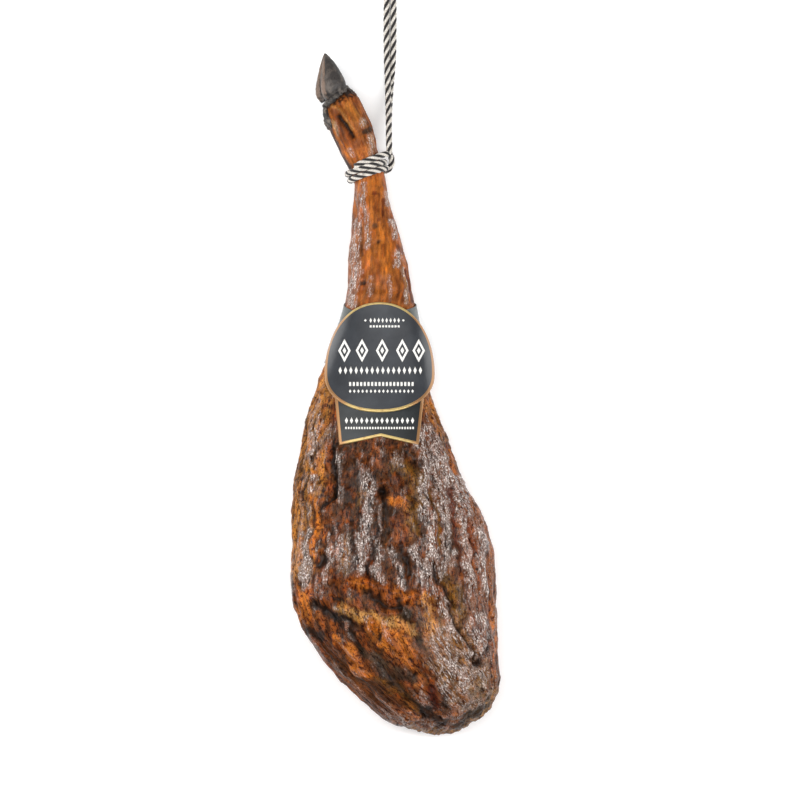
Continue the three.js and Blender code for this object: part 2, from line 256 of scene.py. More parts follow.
def rounded_copy(node: str, levels: int) -> Mesh:
    """Copy a CAD node, join its loose faces and round them off.

    Args:
        node: The CAD node.
        levels: How many times each face is divided.

    Returns:
        The rounded mesh.
    """
    join_distance, join_angle = 0.02 * MM, math.radians(60)
    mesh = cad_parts[node].data.copy()
    work = bmesh.new()
    work.from_mesh(mesh)
    bmesh.ops.remove_doubles(work, verts=work.verts, dist=join_distance)
    bmesh.ops.join_triangles(
        work, faces=work.faces, angle_face_threshold=join_angle, angle_shape_threshold=join_angle
    )
    work.to_mesh(mesh)
    work.free()
    helper = new_piece(node + "_rounding", mesh)
    divide = helper.modifiers.new("divide", "SUBSURF")
    divide.levels = divide.render_levels = levels
    rounded = baked_mesh(helper)
    drop(helper)
    return rounded


def belt(first: int, second: int, count: int) -> list[tuple[int, ...]]:
    """Give the faces between two closed rings of vertices, from their first vertices and their count."""
    following = [(i + 1) % count for i in range(count)]
    return [(first + i, first + following[i], second + following[i], second + i) for i in range(count)]


def curve_points(route: Sequence[Sequence[float]] | np.ndarray, parts: int) -> np.ndarray:
    """Give points along the smooth centripetal curve through a route.

    Args:
        route: The points that it passes.
        parts: How many parts each stretch is divided into.

    Returns:
        One point a row, in millimetres.
    """
    knots = np.array(route, float)
    knots = np.vstack([2 * knots[0] - knots[1], knots, 2 * knots[-1] - knots[-2]])
    gaps = np.maximum(np.linalg.norm(np.diff(knots, axis=0), axis=1) ** 0.5, 1e-6)
    points = []
    for i in range(1, len(knots) - 2):
        before, along, after = gaps[i - 1], gaps[i], gaps[i + 1]
        a, b, c, d = knots[i - 1 : i + 3]
        start = (b - a) / before - (c - a) / (before + along) + (c - b) / along
        finish = (c - b) / along - (d - b) / (along + after) + (d - c) / after
        start, finish = start * along, finish * along
        for part in range(parts):
            t = part / parts
            points.append(
                b * (2 * t**3 - 3 * t**2 + 1)
                + start * (t**3 - 2 * t**2 + t)
                + c * (3 * t**2 - 2 * t**3)
                + finish * (t**3 - t**2)
            )
    points.append(knots[-2])
    return np.array(points)


# ---- Materials ----
class Shader:
    """A material under construction, with short calls for the nodes that the finishes share."""

    ADDEND = 2  # the Math node's third input
    MIX_SHARE, MIX_FIRST, MIX_SECOND, MIX_RESULT = 0, 6, 7, 2  # the Mix node's sockets for colours

    def __init__(self, name: str, settings: dict[str, float | Colour]) -> None:
        """Start a material.

        Args:
            name: The material's name.
            settings: Values set on the surface's own sockets.
        """
        self.material = bpy.data.materials.new(name)
        self.material.use_nodes = True
        self.nodes = self.material.node_tree.nodes
        self.links = self.material.node_tree.links
        self.surface = self.nodes["Principled BSDF"]
        for socket, value in settings.items():
            self.surface.inputs[socket].default_value = value

    def feed(self, value: object, socket: Socket) -> None:
        """Link an output to a socket, or set a plain value on it.

        Args:
            value: The output or the value.
            socket: The socket.
        """
        if isinstance(value, Socket):
            self.links.new(value, socket)
        else:
            socket.default_value = value

    def place(self, stretch: Place = (1.0, 1.0, 1.0), source: Socket | None = None) -> Socket:
        """Give coordinates, stretched along their axes.

        Args:
            stretch: How much each axis is multiplied.
            source: The coordinates, or None for the object's own.

        Returns:
            The stretched coordinates.
        """
        if source is None:
            source = self.nodes.new("ShaderNodeTexCoord").outputs["Object"]
        mapping = self.nodes.new("ShaderNodeMapping")
        mapping.inputs["Scale"].default_value = stretch
        self.links.new(source, mapping.inputs["Vector"])
        return mapping.outputs["Vector"]

    def attribute(self, name: str, output: str = "Fac") -> Socket:
        """Give a mesh attribute.

        Args:
            name: The attribute's name.
            output: "Fac" for a number, "Vector" or "Color".

        Returns:
            The attribute.
        """
        node = self.nodes.new("ShaderNodeAttribute")
        node.attribute_name = name
        return node.outputs[output]

    def noise(
        self,
        size: float,
        detail: float = 3.0,
        stretch: Place = (1.0, 1.0, 1.0),
        warp: float = 0.0,
        source: Socket | None = None,
    ) -> Socket:
        """Give soft random values between 0 and 1.

        Args:
            size: The distance between lumps, in millimetres.
            detail: How many finer layers are added.
            stretch: How much each axis is multiplied before sampling.
            warp: How much the pattern is bent by itself.
            source: The coordinates, or None for the object's own.

        Returns:
            The values.
        """
        node = self.nodes.new("ShaderNodeTexNoise")
        self.links.new(self.place(stretch, source), node.inputs["Vector"])
        node.inputs["Scale"].default_value = 1 / (size * MM)
        node.inputs["Detail"].default_value = detail
        node.inputs["Distortion"].default_value = warp
        return node.outputs["Fac"]

    def window(self, value: object, low: float, high: float) -> Socket:
        """Rise from 0 at low to 1 at high, smoothly.

        Args:
            value: The value to ease.
            low: Where the result is 0.
            high: Where the result is 1.

        Returns:
            The eased value.
        """
        node = self.nodes.new("ShaderNodeMapRange")
        node.interpolation_type = "SMOOTHSTEP"
        self.feed(value, node.inputs["Value"])
        node.inputs["From Min"].default_value = low
        node.inputs["From Max"].default_value = high
        return node.outputs["Result"]

    def reckon(self, how: str, first: object, second: object) -> Socket:
        """Combine two values with a Math node.

        Args:
            how: The node's operation.
            first: The first value.
            second: The second value.

        Returns:
            The result.
        """
        node = self.nodes.new("ShaderNodeMath")
        node.operation = how
        self.feed(first, node.inputs[0])
        self.feed(second, node.inputs[1])
        return node.outputs["Value"]

    def straight(self, value: object, slope: float, start: float) -> Socket:
        """Multiply a value by a slope and add a start.

        Args:
            value: The value.
            slope: The slope.
            start: The result where the value is 0.

        Returns:
            The result.
        """
        result = self.reckon("MULTIPLY_ADD", value, slope)
        result.node.inputs[self.ADDEND].default_value = start
        return result

    def blend(self, share: object, first: object, second: object, how: str = "MIX") -> Socket:
        """Mix two colours.

        Args:
            share: How much of the second colour is used, 0 to 1.
            first: The first colour.
            second: The second colour.
            how: The way of mixing.

        Returns:
            The mixed colour.
        """
        node = self.nodes.new("ShaderNodeMix")
        node.data_type = "RGBA"
        node.blend_type = how
        self.feed(share, node.inputs[self.MIX_SHARE])
        self.feed(first, node.inputs[self.MIX_FIRST])
        self.feed(second, node.inputs[self.MIX_SECOND])
        return node.outputs[self.MIX_RESULT]

    def relief(self, layers: Sequence[tuple[object, float]], strength: object = 1.0) -> None:
        """Raise the surface and its coat by layers of height, coarse to fine.

        Args:
            layers: A height between 0 and 1 and its depth in millimetres, for each layer.
            strength: How much of it shows, 0 to 1.
        """
        normal = None
        for height, depth in layers:
            node = self.nodes.new("ShaderNodeBump")
            node.inputs["Distance"].default_value = depth * MM
            self.feed(strength, node.inputs["Strength"])
            self.feed(height, node.inputs["Height"])
            if normal is not None:
                self.links.new(normal, node.inputs["Normal"])
            normal = node.outputs["Normal"]
        self.links.new(normal, self.surface.inputs["Normal"])
        self.links.new(normal, self.surface.inputs["Coat Normal"])

    def finish(self, colour: object, roughness: object) -> Material:
        """Set the surface's colour and roughness.

        Args:
            colour: The base colour.
            roughness: The roughness, 0 to 1.

        Returns:
            The finished material.
        """
        self.feed(colour, self.surface.inputs["Base Color"])
        self.feed(roughness, self.surface.inputs["Roughness"])
        return self.material


@dataclass(frozen=True)
class SkinFinish:
    """Oily cured skin and fat: mottled, streaked and finely grained.

    Attributes:
        mottle, streak, grain: The distances between blotches, streaks and specks, in millimetres.
        shine, crease: The distances between the painted highlight's grains and between creases.
        blotch: What darkens the broad colours in blotches.
        glow: What warms them in streaks.
        speck: The specks' colour.
        furrow: The creases' colour.
        highlight_haze: The grey sheen colour of the painted highlight.
        grit, highlight_glint: The colours of the dark grains and of the pale painted glints in the painted
            highlight.
        wet: How much coat is added where the gloss and painted highlight are full, and the coat without it.
        dull: How much roughness full gloss adds, and the roughness without it.
        bumpy: How much relief is added where the gloss and painted highlight are full, and the relief without
            it.
    """

    mottle: float = 3.4
    streak: float = 5.0
    grain: float = 1.5
    shine: float = 1.35
    crease: float = 9.0
    blotch: Colour = paint(132, 104, 88)
    glow: Colour = paint(222, 200, 160)
    speck: Colour = paint(26, 17, 12)
    furrow: Colour = paint(24, 16, 12)
    # Painted highlight: a grey sheen and pale glints that stand in for reflections on the oily ridges
    highlight_haze: Colour = paint(142, 123, 114)
    grit: Colour = paint(26, 19, 16)
    highlight_glint: Colour = paint(236, 225, 217)
    wet: Plan = (0.9, 0.08)
    dull: Plan = (-0.3, 0.56)
    bumpy: Plan = (0.6, 0.4)

    def material(self) -> Material:
        """Make the skin, which takes its broad colours from the leg's own attributes."""
        shader = Shader("cured_skin", {"Coat Roughness": 0.12, "Specular IOR Level": 0.07})
        flow = shader.attribute("flow", "Vector")
        bloom_and_highlight = shader.attribute("bloom_and_highlight")
        mottle = shader.noise(self.mottle, 4.0, (1.0, 0.6, 1.0), 0.6, flow)
        streak = shader.noise(self.streak, 4.0, (1.5, 0.32, 1.5), 1.0, flow)
        grain = shader.noise(self.grain, 3.0, (1.0, 0.8, 1.0))
        shine = shader.noise(self.shine, 3.0, (1.0, 0.55, 1.0), 0.2, flow)
        colour = self.mottled(shader, mottle, streak, grain)
        colour = self.creased(shader, colour, flow)
        # Painted highlight: a grey sheen and pale glints laid where the skin is glossiest
        colour = self.paint_highlights(shader, colour, bloom_and_highlight, streak, shine)
        shader.feed(shader.straight(bloom_and_highlight, *self.wet), shader.surface.inputs["Coat Weight"])
        roughness = shader.straight(shader.attribute("gloss"), *self.dull)
        strength = shader.straight(bloom_and_highlight, *self.bumpy)
        shader.relief([(streak, 2.4), (mottle, 0.8), (shine, 0.6), (grain, 0.35)], strength)
        return shader.finish(colour, roughness)

    def mottled(self, shader: Shader, mottle: object, streak: object, grain: object) -> Socket:
        """Give the leg's broad colours, darkened in blotches, warmed in streaks and speckled.

        Args:
            shader: The skin.
            mottle: The blotches.
            streak: The streaks.
            grain: The specks.

        Returns:
            The colour.
        """
        tint = shader.attribute("tint", "Color")
        rough = shader.attribute("rough")
        dark = shader.blend(1.0, tint, self.blotch, "MULTIPLY")
        warm = shader.blend(1.0, tint, self.glow, "SOFT_LIGHT")
        share = shader.reckon("MULTIPLY", shader.window(mottle, 0.52, 0.36), rough)
        colour = shader.blend(share, tint, dark)
        colour = shader.blend(shader.window(streak, 0.50, 0.68), colour, warm)
        speck = shader.reckon("MULTIPLY", shader.window(grain, 0.46, 0.34), rough)
        return shader.blend(shader.reckon("MULTIPLY", speck, 0.85), colour, self.speck)

    def creased(self, shader: Shader, colour: object, flow: object) -> Socket:
        """Draw thin dark creases that run along the leg.

        Args:
            shader: The skin.
            colour: The colour so far.
            flow: Coordinates that follow the leg.

        Returns:
            The colour.
        """
        line = shader.noise(self.crease, 2.0, (1.5, 0.2, 1.5), 0.6, flow)
        away = shader.reckon("ABSOLUTE", shader.reckon("SUBTRACT", line, 0.5), 0.0)
        crease = shader.reckon("MULTIPLY", shader.window(away, 0.02, 0.004), shader.attribute("rough"))
        return shader.blend(shader.reckon("MULTIPLY", crease, 0.8), colour, self.furrow)

    def paint_highlights(
        self, shader: Shader, colour: object, bloom_and_highlight: object, streak: object, shine: object
    ) -> Socket:
        """Paint a highlight on the ridges: a grey sheen with pale glints, broken by dark grains.

        Args:
            shader: The skin.
            colour: The colour so far.
            bloom_and_highlight: How much gloss and painted highlight each place carries.
            streak: The streaks, which break the painted sheen up.
            shine: The grains.

        Returns:
            The colour.
        """
        highlight_haze = shader.reckon("MULTIPLY", bloom_and_highlight, shader.window(streak, 0.41, 0.53))
        colour = shader.blend(shader.reckon("MULTIPLY", highlight_haze, 0.70), colour, self.highlight_haze)
        dark = shader.reckon("MULTIPLY", highlight_haze, shader.window(shine, 0.46, 0.37))
        colour = shader.blend(shader.reckon("MULTIPLY", dark, 0.6), colour, self.grit)
        pale = shader.reckon("MULTIPLY", highlight_haze, shader.window(shine, 0.51, 0.64))
        return shader.blend(shader.reckon("MULTIPLY", pale, 0.84), colour, self.highlight_glint)


@dataclass(frozen=True)
class HornFinish:
    """Dull dark horn, with fine growth lines along the claw."""

    base: Colour = paint(58, 54, 52)
    light: Colour = paint(92, 84, 78)
    deep: Colour = paint(30, 27, 26)
    roughness: float = 0.46

    def material(self) -> Material:
        """Make the horn, which takes its broad colour from the claw's own attribute."""
        shader = Shader("hoof_horn", {"Specular IOR Level": 0.35})
        tint = shader.attribute("tint", "Color")
        cloud = shader.noise(9.0, 4.0, (1.0, 0.7, 1.0), 0.4)
        grain = shader.noise(1.2, 3.0, (1.4, 0.5, 1.4))
        colour = shader.blend(shader.window(cloud, 0.44, 0.70), tint, self.light)
        colour = shader.blend(shader.window(grain, 0.45, 0.28), colour, self.deep)
        scuff = shader.noise(2.6, 4.0, (2.2, 0.35, 2.2))
        shader.relief([(cloud, 0.8), (scuff, 0.5), (grain, 0.18)])
        return shader.finish(colour, self.roughness)


@dataclass(frozen=True)
class PaperFinish:
    """Coated printed paper with a soft sheen and a faint tooth."""

    name: str
    base: Colour
    roughness: float = 0.36
    added: Colour = paint(38, 42, 46)

    def material(self) -> Material:
        """Make the paper."""
        shader = Shader(self.name, {"Coat Weight": 0.5, "Coat Roughness": 0.2})
        cloud = shader.noise(26.0, 2.0)
        tooth = shader.noise(0.5, 2.0)
        lighter = shader.blend(1.0, self.base, self.added, "ADD")
        colour = shader.blend(shader.window(cloud, 0.30, 0.80), self.base, lighter)
        colour = shader.blend(shader.window(tooth, 0.75, 0.2), colour, self.base)
        roughness = shader.straight(tooth, 0.10, self.roughness - 0.05)
        shader.relief([(cloud, 0.35), (tooth, 0.03)])
        return shader.finish(colour, roughness)


@dataclass(frozen=True)
class FoilFinish:
    """Gold foil round the papers' edges, worn thin in places."""

    base: Colour = paint(204, 178, 116)
    worn: Colour = paint(166, 116, 78)
    middle: float = -20.0
    reach: Plan = (32.0, 45.0)

    def material(self) -> Material:
        """Make the foil, more worn towards the papers' two sides."""
        shader = Shader("gold_foil", {"Metallic": 0.55, "Coat Weight": 0.1})
        place = shader.nodes.new("ShaderNodeSeparateXYZ")
        shader.feed(shader.place(), place.inputs["Vector"])
        across = shader.reckon("SUBTRACT", place.outputs["X"], self.middle * MM)
        side = shader.reckon("ABSOLUTE", across, 0.0)
        edge = shader.window(side, self.reach[0] * MM, self.reach[1] * MM)
        wear = shader.window(shader.noise(7.0, 4.0), 0.48, 0.78)
        share = shader.reckon("MULTIPLY", shader.reckon("MAXIMUM", wear, edge), 0.85)
        colour = shader.blend(share, self.base, self.worn)
        shader.relief([(shader.noise(1.2, 2.0), 0.06)])
        return shader.finish(colour, 0.34)


@dataclass(frozen=True)
class InkFinish:
    """Off-white printing ink."""

    base: Colour = paint(232, 230, 224)
    worn: Colour = paint(176, 174, 172)

    def material(self) -> Material:
        """Make the ink."""
        shader = Shader("pale_ink", {"Specular IOR Level": 0.4})
        patchy = shader.noise(1.6, 3.0)
        colour = shader.blend(shader.window(patchy, 0.55, 0.85), self.base, self.worn)
        shader.relief([(patchy, 0.02)])
        return shader.finish(colour, 0.5)


@dataclass(frozen=True)
class StrandFinish:
    """One colour of the rope's twisted cotton strands."""

    name: str
    base: Colour
    shade: Colour

    def material(self) -> Material:
        """Make the cotton."""
        shader = Shader(self.name, {"Sheen Weight": 0.25, "Sheen Roughness": 0.5})
        fibre = shader.noise(0.55, 4.0, (1.0, 0.45, 1.0), 0.5)
        soil = shader.noise(6.0, 3.0)
        colour = shader.blend(shader.window(fibre, 0.58, 0.36), self.base, self.shade)
        colour = shader.blend(shader.window(soil, 0.52, 0.80), colour, self.shade)
        shader.relief([(fibre, 0.35)])
        return shader.finish(colour, 0.78)


@dataclass(frozen=True)
class FloorFinish:
    """A plain pale studio floor."""

    base: Colour = paint(247, 247, 247)
    glow: float = 0.16

    def material(self) -> Material:
        """Make the floor, which glows faintly."""
        settings = {"Specular IOR Level": 0.2, "Emission Color": self.base, "Emission Strength": self.glow}
        shader = Shader("studio_floor", settings)
        shader.relief([(shader.noise(40.0, 2.0), 0.05)])
        return shader.finish(self.base, 0.62)


# ---- The leg ----
class Tint(Enum):
    """Colours of the cured skin and fat."""

    CHAR = paint(20, 16, 14)
    SMOKE = paint(48, 42, 34)
    BARK = paint(50, 32, 19)
    CHESTNUT = paint(86, 50, 27)
    RUST = paint(118, 62, 25)
    WINE = paint(70, 28, 17)
    ROSE = paint(124, 80, 58)
    AMBER = paint(150, 86, 36)
    HONEY = paint(168, 112, 52)
    FLAME = paint(164, 94, 32)
    OLIVE = paint(102, 70, 24)
    TAN = paint(160, 116, 64)
    FAT = paint(158, 114, 64)
    ASH = paint(104, 92, 76)


@dataclass(frozen=True)
class Mark:
    """A patch, ridge or groove of the show side, along a path in plan.

    Attributes:
        path: The points that it follows.
        width: Half its width.
        tint: Its colour, if it has one of its own.
        cover: How much of that colour is laid on, 0 to 1.
        lift: How far it stands up, or is sunk where negative.
        bloom_and_highlight: How much gloss and silvery painted highlight it carries.
        ragged: How much its edge wanders, as a share of its width.
    """

    path: tuple[Plan, ...]
    width: float
    tint: Tint | None = None
    cover: float = 0.8
    lift: float = 0.0
    bloom_and_highlight: float = 0.0
    ragged: float = 0.35

    def reach(self, plan: np.ndarray) -> np.ndarray:
        """Measure how far places lie from the path, in half-widths.

        Args:
            plan: Places in plan, one a row.

        Returns:
            One distance for each place.
        """
        ends = self.path if len(self.path) > 1 else self.path * 2
        nearest = np.full(len(plan), np.inf)
        for start, end in zip(ends, ends[1:]):
            run = np.subtract(end, start)
            size = max(float(run @ run), 1e-9)
            share = np.clip((plan - start) @ run / size, 0, 1)
            gap = np.linalg.norm(plan - start - share[:, None] * run, axis=1)
            nearest = np.minimum(nearest, gap)
        return nearest / self.width


REGIONS = (
    # Shank and foot
    Mark(((-26, 262), (-24, 200), (-20, 130), (-20, 80)), 62, Tint.AMBER),
    Mark(((-50, 290), (-66, 330), (-72, 352)), 44, Tint.AMBER, 0.86),
    # Left fat strip and the shoulders beside the papers
    Mark(((-84, 60), (-104, 0), (-114, -60), (-118, -130), (-118, -205)), 26, Tint.HONEY, 0.85),
    Mark(((-84, 10), (-90, -40), (-92, -90)), 15, Tint.HONEY),
    Mark(((40, 10), (56, -30), (72, -80)), 15, Tint.HONEY, 0.7),
    # Dark panel in the middle and the red-brown right side
    Mark(((-52, -70), (-44, -110), (-40, -160)), 34, Tint.BARK, 0.85),
    Mark(((10, -60), (0, -120), (4, -200)), 36, Tint.BARK, 0.6),
    Mark(((64, -70), (84, -150), (92, -240), (96, -330)), 44, Tint.CHESTNUT, 0.65),
    Mark(((92, -150), (104, -230), (108, -300)), 24, Tint.ROSE, 0.6, bloom_and_highlight=0.2),
    Mark(((60, -280), (76, -320), (90, -352)), 34, Tint.TAN, 0.4, bloom_and_highlight=0.15),
    Mark(((0, -392), (50, -394), (90, -380)), 16, Tint.AMBER, 0.5, bloom_and_highlight=0.2),
    # Lower part
    Mark(((-60, -320), (-10, -372), (30, -395)), 34, Tint.CHESTNUT, 0.7),
    Mark(((96, -366), (104, -384)), 30, Tint.ASH, 0.6),
)

